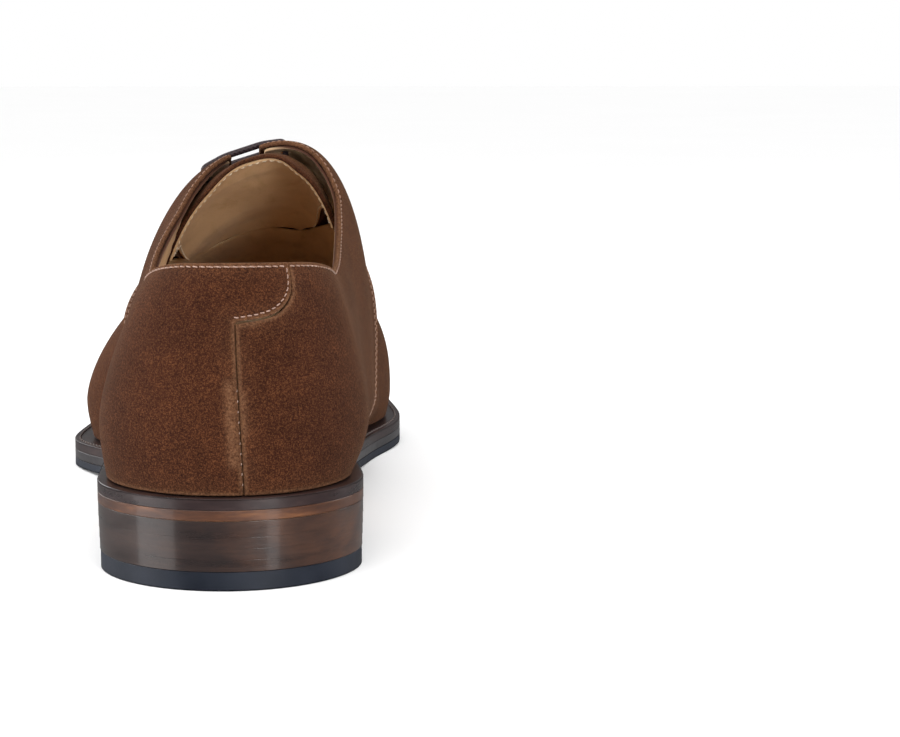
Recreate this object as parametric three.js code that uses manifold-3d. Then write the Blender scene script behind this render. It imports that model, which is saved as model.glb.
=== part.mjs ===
// A man's lace-up derby shoe for the left foot: suede upper on a welted leather sole with a stacked heel.
// Millimetres. +Y runs to the toe, +X to the inner (medial) side, +Z up; the origin lies on the floor
// under the middle of the heel's wearing face.
import * as THREE from "three";
import { mergeVertices } from "three/addons/utils/BufferGeometryUtils.js";
import Module from "manifold-3d";

const wasm = await Module();
wasm.setup();

// ---------- driving dimensions ----------

const FEATHER_BACK = -36; // rearmost point of the line where the upper meets the welt
const FEATHER_TOE = 262; // foremost point of the same line
const HEEL_ROUND = 34; // length over which the plan rounds off at the heel
const TOE_ROUND = 60; // and at the toe
const CREST_BACK = -20; // the crest is the top line of the foot form, from heel to toe
const CREST_TOE = 236;
const BULGE_V = 0.28; // share of a rib's parameter below its widest point
const BULGE_HEIGHT = 0.18; // height of the widest point as a share of the rib's height
const TOE_FALL = 0.27; // slope at which the toe's ribs leave the crest, as the crest itself falls
const TOE_FALL_Y = 190; // where that slope begins
const FACING_HALF_GAP = 4.3; // half the gap between the two lace facings
const FACING_TOP_Y = 88; // upper end of the facings
const LINING_FOOT_Y = 75; // where the quarter lining ends at the sole
const TAB_Y = 141.5; // lower end of the facings
const VAMP_THROAT_Y = 126; // rear edge of the vamp under the facings

const QUARTER = [0, -1.4]; // outer and inner face of each layer, measured inwards from the form
const UNDER_QUARTER = [-1.9, -3.1]; // vamp, heel counter
const INNER_LAYER = [-3.65, -4.4]; // vamp lining, heel lining over the counter
const FACING_LINING = [-1.9, -2.7]; // quarter lining where no counter lies under it
const TOE_PUFF = [-3.5, -4.3];
const TONGUE_THICK = 1.2;
const TONGUE_LINING_THICK = 0.9;

const SEAM = 0.25; // glue line between stacked layers
const WELT_THICK = 2.8;
const OUTSOLE_THICK = 2.8;
const HALF_SOLE_THICK = 2.4;
const TOP_LIFT_THICK = 4.9;
const LIFT_COUNT = 4;
const HEEL_BREAST_Y = 37;
const INSOLE_THICK = 2.5;
const HEEL_SOCK_THICK = 1.0;

const LACE_RADIUS = 1.1;
const EYELET_RADIUS = 1.6;
const EYELET_ROWS_Y = [118, 109.5, 101, 92.5];
const EYELET_FROM_CREST = 12.5; // distance of the eyelets from the crest, across the shoe
const LACE_OUTSIDE = 1.5; // height of the lace's middle line over the quarter
const LACE_INSIDE = -4.35; // depth of its middle line between facing and tongue
const AGLET_LENGTH = 12;
const AGLET_RADIUS = 1.15;
const AGLET_GAP = 1.4; // from the end of the cord to the tip's near end

// ---------- smooth curves through a few knots ----------

function curve(...knots) {
  const slope = knots.map((knot, i) => {
    const a = knots[Math.max(i - 1, 0)];
    const b = knots[Math.min(i + 1, knots.length - 1)];
    return (b[1] - a[1]) / (b[0] - a[0]);
  });
  return (x) => {
    const at = Math.min(Math.max(x, knots[0][0]), knots[knots.length - 1][0]);
    let i = 0;
    while (i < knots.length - 2 && at > knots[i + 1][0]) i++;
    const [x0, y0] = knots[i];
    const [x1, y1] = knots[i + 1];
    const h = x1 - x0;
    const s = (at - x0) / h;
    const s2 = s * s;
    const s3 = s2 * s;
    return (
      (2 * s3 - 3 * s2 + 1) * y0 +
      (s3 - 2 * s2 + s) * h * slope[i] +
      (3 * s2 - 2 * s3) * y1 +
      (s3 - s2) * h * slope[i + 1]
    );
  };
}

const mix = (a, b, f) => a + (b - a) * f;
const clamp = (x, lo, hi) => Math.min(Math.max(x, lo), hi);
const smooth = (x, lo, hi) => {
  const f = clamp((x - lo) / (hi - lo), 0, 1);
  return f * f * (3 - 2 * f);
};

// ---------- the foot form (last) ----------

// Height of the feather plane: heel seat, shank, ball, toe spring.
const featherZ = curve(
  [-36, 24.4], [0, 24.1], [36, 23.3], [60, 19.9], [85, 14.8], [110, 10.9],
  [140, 9], [160, 8.9], [185, 9.8], [215, 12.4], [240, 15.4], [262, 18.6],
);
const planX = curve([-36, 0], [140, 0], [200, 1], [262, 3]);
const crestX = curve(
  [-20, 4], [30, 5.8], [60, 5], [90, 2], [120, 3.5], [160, 3.3], [236, 3],
);
const crestZ = curve(
  [-20, 102], [20, 106.5], [60, 107.4], [85, 107.4], [100, 101.7], [120, 91],
  [140, 79.5], [165, 68.5], [190, 58.5], [215, 49.5], [236, 43.5],
);
const crestTilt = curve(
  [-20, 0], [30, 0.1], [60, 0.24], [90, 0.32], [120, 0.22], [160, 0.06], [236, 0],
);
const LATERAL = {
  sign: -1,
  half: curve(
    [-36, 33], [0, 33.9], [40, 34], [75, 30.2], [110, 38.6], [145, 52.3],
    [180, 49.7], [215, 44.5], [262, 37],
  ),
  bulge: curve([-36, 0.6], [20, 1.9], [60, 0.2], [110, -0.4], [147, 2.2], [190, 1.5], [262, 0.8]),
  power: curve(
    [-36, 1.9], [20, 1.4], [60, 2.1], [90, 2.65], [130, 1.7], [180, 1.75], [262, 2.2],
  ),
  overhang: curve([-38, 2.2], [0, 2.4], [60, 2], [100, 3], [145, 4.4], [200, 4.4], [266, 4.2]),
};
const MEDIAL = {
  sign: 1,
  half: curve(
    [-36, 32.3], [0, 31.6], [40, 30.4], [75, 33.5], [110, 33.2], [145, 39],
    [180, 49.7], [215, 45], [262, 37],
  ),
  bulge: curve(
    [-36, 0.6], [20, 6.6], [60, 5.9], [95, 8.4], [122, 11.4], [150, 5], [180, 1.8], [262, 0.8],
  ),
  power: curve(
    [-36, 1.9], [20, 1.55], [60, 2.35], [90, 2.68], [130, 2.05], [180, 2.3], [262, 2.2],
  ),
  overhang: curve([-38, 2.2], [0, 3.2], [60, 0.8], [100, 1.6], [145, 3], [200, 3.2], [266, 4.2]),
};
const sideOf = (t) => (t < 0 ? LATERAL : MEDIAL);

// Stations run by t: 0 at the heel's back, 1 at the toe, negative on the lateral side.
const FORM_LENGTH = FEATHER_TOE - FEATHER_BACK;
const stationY = (t) => FEATHER_BACK + (FORM_LENGTH * (1 - Math.cos(Math.PI * t))) / 2;
const stationT = (y) =>
  Math.acos(clamp(1 - (2 * (y - FEATHER_BACK)) / FORM_LENGTH, -1, 1)) / Math.PI;

function roundOff(y, back, toe) {
  const u = clamp(1 - (y - back) / HEEL_ROUND, 0, 1);
  const w = clamp((y - toe + TOE_ROUND) / TOE_ROUND, 0, 1);
  return Math.sqrt(Math.max(1 - u * u, 0) * Math.max(1 - w * w, 0));
}

const wrapped = (t) => (t > 1 ? t - 2 : t < -1 ? t + 2 : t);

function featherPoint(tIn) {
  const t = wrapped(tIn);
  const side = sideOf(t);
  const y = stationY(t);
  const half = side.half(y) * roundOff(y, FEATHER_BACK, FEATHER_TOE);
  return [planX(y) + side.sign * half, y];
}

// Point of the form's outer skin: v is 0 at the feather line, 1 on the crest.
function formPoint(tIn, v) {
  const t = wrapped(tIn);
  const side = sideOf(t);
  const y = stationY(t);
  const foot = featherPoint(t);
  const before = featherPoint(t - 0.002);
  const after = featherPoint(t + 0.002);
  const along = Math.hypot(after[0] - before[0], after[1] - before[1]);
  const outX = (after[1] - before[1]) / along;
  const outY = (before[0] - after[0]) / along;
  const crestY = mix(CREST_BACK, CREST_TOE, (y - FEATHER_BACK) / FORM_LENGTH);
  const z0 = featherZ(y);
  const rise = crestZ(crestY) - z0;
  const bulge = side.bulge(y);
  if (v <= BULGE_V) {
    const s = v / BULGE_V;
    const out = bulge * Math.sin((s * Math.PI) / 2);
    return new THREE.Vector3(foot[0] + outX * out, foot[1] + outY * out,
      z0 + rise * BULGE_HEIGHT * s);
  }
  const angle = (Math.min((v - BULGE_V) / (1 - BULGE_V), 1) * Math.PI) / 2;
  const power = 2 / side.power(y);
  const wide = Math.pow(Math.max(Math.cos(angle), 0), power);
  const high = BULGE_HEIGHT + (1 - BULGE_HEIGHT) * Math.pow(Math.sin(angle), power);
  const dx = (foot[0] + outX * bulge - crestX(crestY)) * wide;
  const dy = (foot[1] + outY * bulge - crestY) * wide;
  const lean = crestTilt(crestY) * dx - TOE_FALL * smooth(crestY, TOE_FALL_Y, CREST_TOE) * dy;
  return new THREE.Vector3(crestX(crestY) + dx, crestY + dy, z0 + rise * high + lean * high * high);
}

function crestNormal(t) {
  const y = mix(CREST_BACK, CREST_TOE, (stationY(t) - FEATHER_BACK) / FORM_LENGTH);
  const slope = crestZ(y + 0.5) - crestZ(y - 0.5);
  return new THREE.Vector3(-crestTilt(y), -slope, 1).normalize();
}

// Outward normal of the form, blended into the crest's own normal where the two sides meet.
function formNormal(t, v) {
  const e = 0.004;
  const dt = formPoint(t + e, v).sub(formPoint(t - e, v));
  const dv = formPoint(t, Math.min(v + e, 1)).sub(formPoint(t, Math.max(v - e, 0)));
  return dt.cross(dv).normalize().lerp(crestNormal(t), smooth(v, 0.96, 1)).normalize();
}

function layerPoint(t, v, depth) {
  return formPoint(t, v).addScaledVector(formNormal(t, v), depth);
}

function solveV(test) {
  let low = 0;
  let high = 1;
  for (let i = 0; i < 30; i++) {
    const middle = (low + high) / 2;
    if (test(middle)) low = middle;
    else high = middle;
  }
  return (low + high) / 2;
}
const vAtHeight = (t, z) => solveV((v) => formPoint(t, v).z < z);
const vAtCrestDistance = (t, d) =>
  solveV((v) => {
    const p = formPoint(t, v);
    const c = formPoint(t, 1);
    return Math.hypot(p.x - c.x, p.y - c.y) > d;
  });

// ---------- building solids ----------

function closedBody(points, faces) {
  const geometry = new THREE.BufferGeometry();
  const flat = points.flatMap((p) => [p.x, p.y, p.z]);
  geometry.setAttribute("position", new THREE.Float32BufferAttribute(flat, 3));
  geometry.setIndex(faces);
  const merged = mergeVertices(geometry, 1e-3);
  const kept = [];
  const index = merged.index.array;
  for (let i = 0; i < index.length; i += 3) {
    const [a, b, c] = [index[i], index[i + 1], index[i + 2]];
    if (a !== b && b !== c && c !== a) kept.push(a, b, c);
  }
  merged.setIndex(kept);
  merged.computeVertexNormals();
  return merged;
}

// A sheet of leather: at(p, q) gives [t, v], and depth(p, q, face) the layer's two faces.
// joined names the sides whose edge closes on itself instead of being a cut edge.
function sheet(columns, rowList, at, faceDepth, joined = []) {
  const points = [];
  const rows = rowList.length - 1;
  for (let face = 0; face < 2; face++)
    for (let j = 0; j <= rows; j++)
      for (let i = 0; i <= columns; i++) {
        const [t, v] = at(i / columns, rowList[j]);
        points.push(layerPoint(t, v, faceDepth(t, v)[face]));
      }
  const perFace = (columns + 1) * (rows + 1);
  const id = (i, j, face) => face * perFace + j * (columns + 1) + i;
  const faces = [];
  const quad = (a, b, c, d) => {
    const shorter = points[a].distanceTo(points[c]) <= points[b].distanceTo(points[d]);
    if (shorter) faces.push(a, b, c, a, c, d);
    else faces.push(a, b, d, b, c, d);
  };
  for (let j = 0; j < rows; j++)
    for (let i = 0; i < columns; i++) {
      quad(id(i, j, 0), id(i + 1, j, 0), id(i + 1, j + 1, 0), id(i, j + 1, 0));
      quad(id(i, j, 1), id(i, j + 1, 1), id(i + 1, j + 1, 1), id(i + 1, j, 1));
    }
  for (let i = 0; i < columns; i++) {
    if (!joined.includes("bottom"))
      quad(id(i, 0, 1), id(i + 1, 0, 1), id(i + 1, 0, 0), id(i, 0, 0));
    if (!joined.includes("top"))
      quad(id(i, rows, 0), id(i + 1, rows, 0), id(i + 1, rows, 1), id(i, rows, 1));
  }
  for (let j = 0; j < rows; j++) {
    quad(id(0, j, 0), id(0, j + 1, 0), id(0, j + 1, 1), id(0, j, 1));
    quad(id(columns, j, 1), id(columns, j + 1, 1), id(columns, j + 1, 0), id(columns, j, 0));
  }
  return closedBody(points, faces);
}

const layer = (depths) => () => depths;
const evenRows = (count) => Array.from({ length: count + 1 }, (_, i) => i / count);

// Outline of a sole layer, the feather line grown by "grow" (which may depend on side and y).
function soleEdge(side, y, grow, back, toe) {
  return planX(y) + side.sign * (side.half(y) + grow(side, y)) * roundOff(y, back, toe);
}

// A flat layer between two y stations; faces lie at topZ(y) and bottomZ(y).
function slab({ from, to, grow, back, toe, topZ, bottomZ, stations, cut = "" }) {
  const points = [];
  for (let i = 0; i <= stations; i++) {
    const f = i / stations;
    const eased =
      cut === "front" ? 1 - Math.cos((f * Math.PI) / 2)
      : cut === "rear" ? Math.sin((f * Math.PI) / 2)
      : (1 - Math.cos(f * Math.PI)) / 2;
    const y = mix(from, to, eased);
    for (const z of [topZ(y), bottomZ(y)])
      for (const side of [LATERAL, MEDIAL])
        points.push(new THREE.Vector3(soleEdge(side, y, grow, back, toe), y, z));
  }
  const faces = [];
  const quad = (a, b, c, d) => faces.push(a, b, c, a, c, d);
  for (let i = 0; i < stations; i++) {
    const a = 4 * i;
    const b = a + 4;
    quad(a, a + 1, b + 1, b);
    quad(a + 3, a + 2, b + 2, b + 3);
    quad(a + 2, a, b, b + 2);
    quad(a + 1, a + 3, b + 3, b + 1);
  }
  quad(0, 2, 3, 1);
  const last = 4 * stations;
  quad(last, last + 1, last + 3, last + 2);
  return closedBody(points, faces);
}

function solidOf(geometry) {
  const merged = mergeVertices(
    new THREE.BufferGeometry()
      .setAttribute("position", geometry.getAttribute("position"))
      .setIndex(geometry.getIndex()),
    1e-3,
  );
  return new wasm.Manifold(
    new wasm.Mesh({
      numProp: 3,
      vertProperties: new Float32Array(merged.attributes.position.array),
      triVerts: new Uint32Array(merged.index.array),
    }),
  );
}

function geometryOf(solid) {
  const mesh = solid.getMesh();
  const geometry = new THREE.BufferGeometry();
  geometry.setAttribute("position", new THREE.Float32BufferAttribute(mesh.vertProperties, 3));
  geometry.setIndex(new THREE.BufferAttribute(mesh.triVerts, 1));
  geometry.computeVertexNormals();
  return geometry;
}

function without(geometry, cutters) {
  return geometryOf(cutters.reduce((solid, cut) => solid.subtract(solidOf(cut)), solidOf(geometry)));
}

// ---------- materials ----------

const paint = (color, roughness) =>
  new THREE.MeshStandardMaterial({ color, roughness, metalness: 0 });
const suede = paint(0x6b3f24, 0.95);
const liningLeather = paint(0xc2a374, 0.7);
const soleLeather = paint(0x9a5a2c, 0.45);
const edgeLeather = paint(0x2e2220, 0.35);
const stackLeather = paint(0x3f2a20, 0.35);
const rubber = paint(0x1c1e22, 0.5);
const fibreBoard = paint(0x9c8462, 0.85);
const cork = paint(0xa77b4c, 0.9);
const cotton = paint(0x2b1a1c, 0.8);
const aglet = paint(0x1d1414, 0.3);
const steel = new THREE.MeshStandardMaterial({ color: 0x9da1a6, roughness: 0.4, metalness: 1 });

// ---------- upper ----------

// Height of the topline over the floor, from the back of the heel to the facings.
const toplineZ = curve(
  [-36, 83.8], [-20, 82.5], [0, 79], [15, 77.3], [30, 78.5], [46, 83.5],
  [60, 90.5], [72, 97.5], [82, 102.5], [88, 105.5],
);
// The lateral side runs this much lower, to clear the ankle bone.
const ankleDip = curve([-30, 0], [-5, 2.2], [12, 4.2], [32, 3.6], [50, 1.5], [66, 0]);
const toplineV = (t) => {
  const y = stationY(t);
  const open = vAtHeight(t, toplineZ(y) - (t < 0 ? ankleDip(y) : 0));
  return mix(open, vAtCrestDistance(t, FACING_HALF_GAP), smooth(y, 66, FACING_TOP_Y));
};

// The lateral quarter runs past the back seam at the top as a rounded tail on the medial side.
const SEAM_GAP_T = 0.0016;
const backSeamT = curve([23, 0.017], [69, 0.006]);
const tailT = curve(
  [69, 0.006], [69.6, 0.034], [70.8, 0.06], [73.2, 0.08], [77, 0.094], [86, 0.1],
);
const lateralEndT = (z) => (z < 69 ? backSeamT(z) : tailT(z));
const medialEndT = (z) =>
  (z + 0.35 < 69 ? backSeamT(z) : Math.max(tailT(z + 0.35), backSeamT(z))) + SEAM_GAP_T;

// Front edge of a quarter: v over y, from the feather line up to the lower end of the facing.
const quarterFrontV = curve(
  [88, 0], [99, 0.18], [111, 0.39], [125, 0.62], [134, 0.76], [138.5, 0.83], [140.8, 0.885],
  [TAB_Y, 0.945],
);
const facingV = (t) => vAtCrestDistance(t, FACING_HALF_GAP);

// The part of the form between a back edge, the topline, the facing and a front edge. Its columns
// run from the back edge to the stations of "spans" in turn: [y, columns up to there].
function quarterPatch(sign, endT, frontV, spans) {
  const knots = spans.map(([y]) => sign * stationT(y));
  const ends = spans.map((_, i) => columnCount(spans.slice(0, i + 1)));
  const total = columnCount(spans);
  return (p, q) => {
    const index = Math.min(p * total, total);
    const k = ends.findIndex((end) => index <= end);
    const back = k > 0 ? knots[k - 1] : endT(formPoint(1e-4, q * toplineV(0)).z);
    const first = k > 0 ? ends[k - 1] : 0;
    const t = mix(back, knots[k], (index - first) / spans[k][1]);
    const y = stationY(t);
    const upper = y <= FACING_TOP_Y ? toplineV(t) : facingV(t);
    const lower = t * sign > 0 ? Math.max(frontV(y), 0) : 0;
    return [t, mix(lower, upper, q)];
  };
}

const QUARTER_SPANS = [[LINING_FOOT_Y, 16], [FACING_TOP_Y, 4], [128, 8], [TAB_Y, 5]];
const LINING_END_Y = 119;
const LINING_SPANS = [[LINING_FOOT_Y, 16], [FACING_TOP_Y, 4], [LINING_END_Y, 6]];
const columnCount = (spans) => spans.reduce((total, [, count]) => total + count, 0);
const heelShare = (z) => vAtHeight(1e-4, z) / toplineV(0);
const QUARTER_ROWS = [
  0, 0.1, 0.2, 0.3, 0.4, 0.5, 0.6, 0.7, heelShare(68.6), heelShare(69), heelShare(69.6),
  heelShare(70.8), heelShare(73.2), heelShare(77), 1,
];

// Rows of the lateral side run from heel to toe against the sheet's winding, so they are mirrored.
const mirrored = (at) => (p, q) => at(1 - p, q);

const EYELET_DRILL = 9; // long enough to go through the quarter and its lining

function eyeletCutter(t) {
  const v = vAtCrestDistance(t, EYELET_FROM_CREST);
  const centre = formPoint(t, v);
  const normal = formNormal(t, v);
  const geometry = new THREE.CylinderGeometry(EYELET_RADIUS, EYELET_RADIUS, EYELET_DRILL, 10);
  geometry.applyQuaternion(
    new THREE.Quaternion().setFromUnitVectors(new THREE.Vector3(0, 1, 0), normal),
  );
  geometry.translate(centre.x, centre.y, centre.z);
  return geometry;
}

function eyeletCutters(sign) {
  return EYELET_ROWS_Y.map((y) => eyeletCutter(sign * stationT(y)));
}

function lateralQuarter() {
  const at = quarterPatch(-1, lateralEndT, quarterFrontV, QUARTER_SPANS);
  const body = sheet(columnCount(QUARTER_SPANS), QUARTER_ROWS, mirrored(at), layer(QUARTER));
  return without(body, eyeletCutters(-1));
}

function medialQuarter() {
  const at = quarterPatch(1, medialEndT, quarterFrontV, QUARTER_SPANS);
  const body = sheet(columnCount(QUARTER_SPANS), QUARTER_ROWS, at, layer(QUARTER));
  return without(body, eyeletCutters(1));
}

// Rear edge of the vamp and its lining, by height: they meet the quarter lining there.
const vampRearY = curve([0, 76], [0.4, 99], [0.62, 114], [0.8, 124], [1, VAMP_THROAT_Y]);
const liningFrontV = curve([75, 0], [84.5, 0.17], [94, 0.34], [105, 0.53], [LINING_END_Y, 0.78]);

function quarterLining(sign) {
  const endT = () => sign * SEAM_GAP_T;
  const at = quarterPatch(sign, endT, liningFrontV, LINING_SPANS);
  // It bulges inwards over the heel counter, and meets the quarter again in front of it and above it.
  const overCounter = (t, v) => {
    const inFront = smooth(stationY(t), COUNTER_FRONT_Y + 6, COUNTER_FRONT_Y + 20);
    const above = smooth(v / toplineV(t), 0.84, 0.97);
    const lift = Math.max(inFront, above);
    return [0, 1].map((k) => mix(INNER_LAYER[k], FACING_LINING[k], lift));
  };
  const placed = sign < 0 ? mirrored(at) : at;
  const body = sheet(columnCount(LINING_SPANS), QUARTER_ROWS, placed, overCounter);
  return without(body, eyeletCutters(sign));
}

const COUNTER_FRONT_Y = 50;
const COUNTER_TOP_V = 0.52;

function heelCounter() {
  const reach = stationT(COUNTER_FRONT_Y);
  const at = (p, q) => {
    const t = mix(-reach, reach, p);
    const fall = Math.pow(Math.abs(t) / reach, 3);
    return [t, q * mix(COUNTER_TOP_V, 0.3, fall)];
  };
  return sheet(28, evenRows(7), at, layer(UNDER_QUARTER));
}

// Pieces of the forepart run across the foot from one feather line over the crest to the other.
function acrossForepart(rearY, bottomV = 0) {
  return (p, q) => {
    const w = 2 * p - 1;
    const sign = w < 0 ? -1 : 1;
    const v = mix(1, bottomV, Math.abs(w));
    return [sign * mix(stationT(rearY(v)), 1, q), v];
  };
}

const FOREPART_COLUMNS = 32;

// Rows crowd towards the rear edge, where a step of t spans more of the shoe's length.
const forepartRows = (count) => evenRows(count).map((f) => mix(f, f * f, 0.45));

function vamp() {
  return sheet(
    FOREPART_COLUMNS, forepartRows(17), acrossForepart(vampRearY), layer(UNDER_QUARTER), ["top"],
  );
}

const vampLiningRearY = curve(
  [0, 76], [0.4, 99], [0.6, 111], [0.67, 117], [0.715, 124.5], [0.74, 129], [0.77, 134], [0.8, 138],
  [0.86, 142], [1, 143],
);

function vampLining() {
  const underPuff = TOE_PUFF[0] - TOE_PUFF[1] + 0.4;
  const puffed = (t) => {
    const shift = underPuff * smooth(stationY(t), PUFF_REAR_Y - 12, PUFF_REAR_Y - 1);
    return INNER_LAYER.map((depth) => depth - shift);
  };
  return sheet(
    FOREPART_COLUMNS, forepartRows(16), acrossForepart(vampLiningRearY), puffed, ["top"],
  );
}

const PUFF_REAR_Y = 214;

function toePuff() {
  return sheet(
    FOREPART_COLUMNS, evenRows(6), acrossForepart(() => PUFF_REAR_Y), layer(TOE_PUFF), ["top"],
  );
}

// The tongue lies deeper under the facings, to leave room for the lace, and rises to its sewn base.
const TONGUE_BASE_Y = 141.5;
const tongueDepth = curve(
  [62, -6], [98, -6.1], [118, -6], [124, -5.2], [131, -4], [136, -3.6], [142, -3.5],
);
const TONGUE_FLARE = 2.4; // the free end fans out behind the facings, towards the quarters
const TONGUE_CREST_FLARE = 1.7; // and stands a little higher along the crest
const TONGUE_MEDIAL_DROP = 1.7; // the medial side stays lower than the lateral side
const tongueSideV = curve([60, 0.46], [90, 0.58], [122, 0.72], [142, 0.84]);

function tongueAt(p, q) {
  const w = 2 * p - 1;
  const sign = w < 0 ? -1 : 1;
  const rear = 66 + 9 * w * w;
  const fore = TONGUE_BASE_Y - 5 * w * w;
  const y = mix(rear, fore, q);
  return [sign * stationT(y), mix(1, tongueSideV(y), Math.abs(w))];
}

function tongueSheet(outside, thick) {
  const depths = (t, v) => {
    const y = stationY(t);
    const drop = t > 0 ? TONGUE_MEDIAL_DROP * (1 - smooth(v, 0.8, 1)) : 0;
    const flare =
      (TONGUE_FLARE - drop) * smooth(-y, -90, -75) +
      TONGUE_CREST_FLARE * smooth(-y, -86, -66) * smooth(v, 0.77, 0.97);
    const top = tongueDepth(y) + flare - outside;
    return [top, top - thick];
  };
  return sheet(26, evenRows(14), tongueAt, depths);
}

// ---------- lace ----------

const eyeletPoint = (sign, y, depth) => {
  const t = sign * stationT(y);
  return layerPoint(t, vAtCrestDistance(t, EYELET_FROM_CREST), depth);
};

// One straight run of the lace over the facings at a row of eyelets.
function laceBar(sign, y) {
  const ends = [eyeletPoint(sign, y, LACE_OUTSIDE), eyeletPoint(-sign, y, LACE_OUTSIDE)];
  const t = stationT(y);
  const over = [-1, 1].map((side) => {
    const v = vAtCrestDistance(side * sign * -t, FACING_HALF_GAP + 1.5);
    return layerPoint(side * sign * -t, v, LACE_OUTSIDE);
  });
  return [ends[0], over[0], over[1], ends[1]];
}

// The loose ends lie side by side between the lateral facing and the tongue, each given by
// [y, distance from the crest]; the last point is where its aglet points to.
const LACE_ENDS = {
  lower: [[116.5, 16.5], [115, 18], [103, 18.5]],
  upper: [[94, 17.5], [98, 23], [110, 25]],
};

function laceEnd(name) {
  return LACE_ENDS[name].map(([y, distance]) => {
    const t = -stationT(y);
    return layerPoint(t, vAtCrestDistance(t, distance), LACE_INSIDE);
  });
}

function lacePath() {
  const inside = (sign, y) => eyeletPoint(sign, y, LACE_INSIDE);
  const points = laceEnd("lower").slice(0, 2).reverse();
  let sign = -1;
  for (const y of EYELET_ROWS_Y) {
    points.push(inside(sign, y), ...laceBar(sign, y), inside(-sign, y));
    sign = -sign;
  }
  points.push(...laceEnd("upper").slice(0, 2));
  return points;
}

// The corners of the path are rounded with short bends.
function roundedPath(points, radius) {
  const path = new THREE.CurvePath();
  let from = points[0];
  for (let i = 1; i < points.length - 1; i++) {
    const back = points[i - 1].clone().sub(points[i]);
    const on = points[i + 1].clone().sub(points[i]);
    const cut = Math.min(radius, back.length() * 0.45, on.length() * 0.45);
    const start = points[i].clone().addScaledVector(back.normalize(), cut);
    const end = points[i].clone().addScaledVector(on.normalize(), cut);
    path.add(new THREE.LineCurve3(from, start));
    path.add(new THREE.QuadraticBezierCurve3(start, points[i], end));
    from = end;
  }
  path.add(new THREE.LineCurve3(from, points[points.length - 1]));
  return path;
}

function tube(path, radius, sides, stations) {
  const centres = stations.map((s) => path.getPointAt(s));
  const tangents = stations.map((s) => path.getTangentAt(s).normalize());
  const points = [];
  let up = new THREE.Vector3(0, 1, 0);
  centres.forEach((centre, i) => {
    up = up.clone().addScaledVector(tangents[i], -up.dot(tangents[i])).normalize();
    const across = new THREE.Vector3().crossVectors(tangents[i], up);
    for (let k = 0; k < sides; k++) {
      const angle = (2 * Math.PI * k) / sides;
      points.push(centre.clone()
        .addScaledVector(up, radius * Math.cos(angle))
        .addScaledVector(across, radius * Math.sin(angle)));
    }
  });
  const faces = [];
  const count = centres.length;
  for (let i = 0; i < count - 1; i++)
    for (let k = 0; k < sides; k++) {
      const a = i * sides + k;
      const b = i * sides + ((k + 1) % sides);
      faces.push(a, b, b + sides, a, b + sides, a + sides);
    }
  for (let k = 1; k < sides - 1; k++) {
    faces.push(0, k + 1, k);
    const end = (count - 1) * sides;
    faces.push(end, end + k, end + k + 1);
  }
  return closedBody(points, faces);
}

const LACE_STATIONS = 120;

function lace() {
  const path = roundedPath(lacePath(), 2);
  const stations = Array.from({ length: LACE_STATIONS + 1 }, (_, i) => i / LACE_STATIONS);
  return tube(path, LACE_RADIUS, 6, stations);
}

function agletAt(name) {
  const [, from, toward] = laceEnd(name);
  const along = toward.clone().sub(from).normalize();
  const start = from.clone().addScaledVector(along, AGLET_GAP);
  const line = new THREE.LineCurve3(start, start.clone().addScaledVector(along, AGLET_LENGTH));
  return tube(line, AGLET_RADIUS, 8, [0, 1]);
}

// ---------- sole ----------

const overhang = (side, y) => side.overhang(y);
const inset = (amount) => () => -amount;
const below = (depth) => (y) => featherZ(clamp(y, FEATHER_BACK, FEATHER_TOE)) - depth;
const SOLE_BACK = FEATHER_BACK - 2.2;
const SOLE_TOE = FEATHER_TOE + 4.2;
const WELT_INSET = 9;
const weltTop = SEAM;
const weltBottom = weltTop + WELT_THICK;
const outsoleTop = weltBottom + SEAM;
const outsoleBottom = outsoleTop + OUTSOLE_THICK;
const halfSoleTop = outsoleBottom + SEAM;

function welt() {
  const ring = {
    from: SOLE_BACK, to: SOLE_TOE, back: SOLE_BACK, toe: SOLE_TOE, stations: 44,
    grow: overhang, topZ: below(weltTop), bottomZ: below(weltBottom),
  };
  const hole = {
    ...ring, grow: inset(WELT_INSET), stations: 36,
    from: FEATHER_BACK + WELT_INSET, to: FEATHER_TOE - WELT_INSET,
    back: FEATHER_BACK + WELT_INSET, toe: FEATHER_TOE - WELT_INSET,
    topZ: below(weltTop - 2), bottomZ: below(weltBottom + 2),
  };
  return without(slab(ring), [slab(hole)]);
}

function outsole() {
  return slab({
    from: SOLE_BACK, to: SOLE_TOE, back: SOLE_BACK, toe: SOLE_TOE, stations: 44,
    grow: overhang, topZ: below(outsoleTop), bottomZ: below(outsoleBottom),
  });
}

const HALF_SOLE_REAR_Y = 84;

function halfSole() {
  return slab({
    from: HALF_SOLE_REAR_Y, to: SOLE_TOE, back: SOLE_BACK, toe: SOLE_TOE, stations: 28,
    grow: overhang, cut: "rear", topZ: below(halfSoleTop),
    bottomZ: (y) =>
      below(halfSoleTop + mix(0.7, HALF_SOLE_THICK, smooth(y, HALF_SOLE_REAR_Y, 104)))(y),
  });
}

function filler() {
  const edge = WELT_INSET + 0.8;
  const body = slab({
    from: FEATHER_BACK + edge, to: FEATHER_TOE - edge,
    back: FEATHER_BACK + edge, toe: FEATHER_TOE - edge,
    stations: 30, grow: inset(edge), topZ: below(0.15), bottomZ: below(weltBottom - 0.05),
  });
  return without(body, [shankStrip(0.35, 3)]);
}

// The steel shank lies in a slot of the filler, open to the insole.
const SHANK = { half: 6, from: -4, to: 98, top: 0.5, thick: 1.4 };

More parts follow.
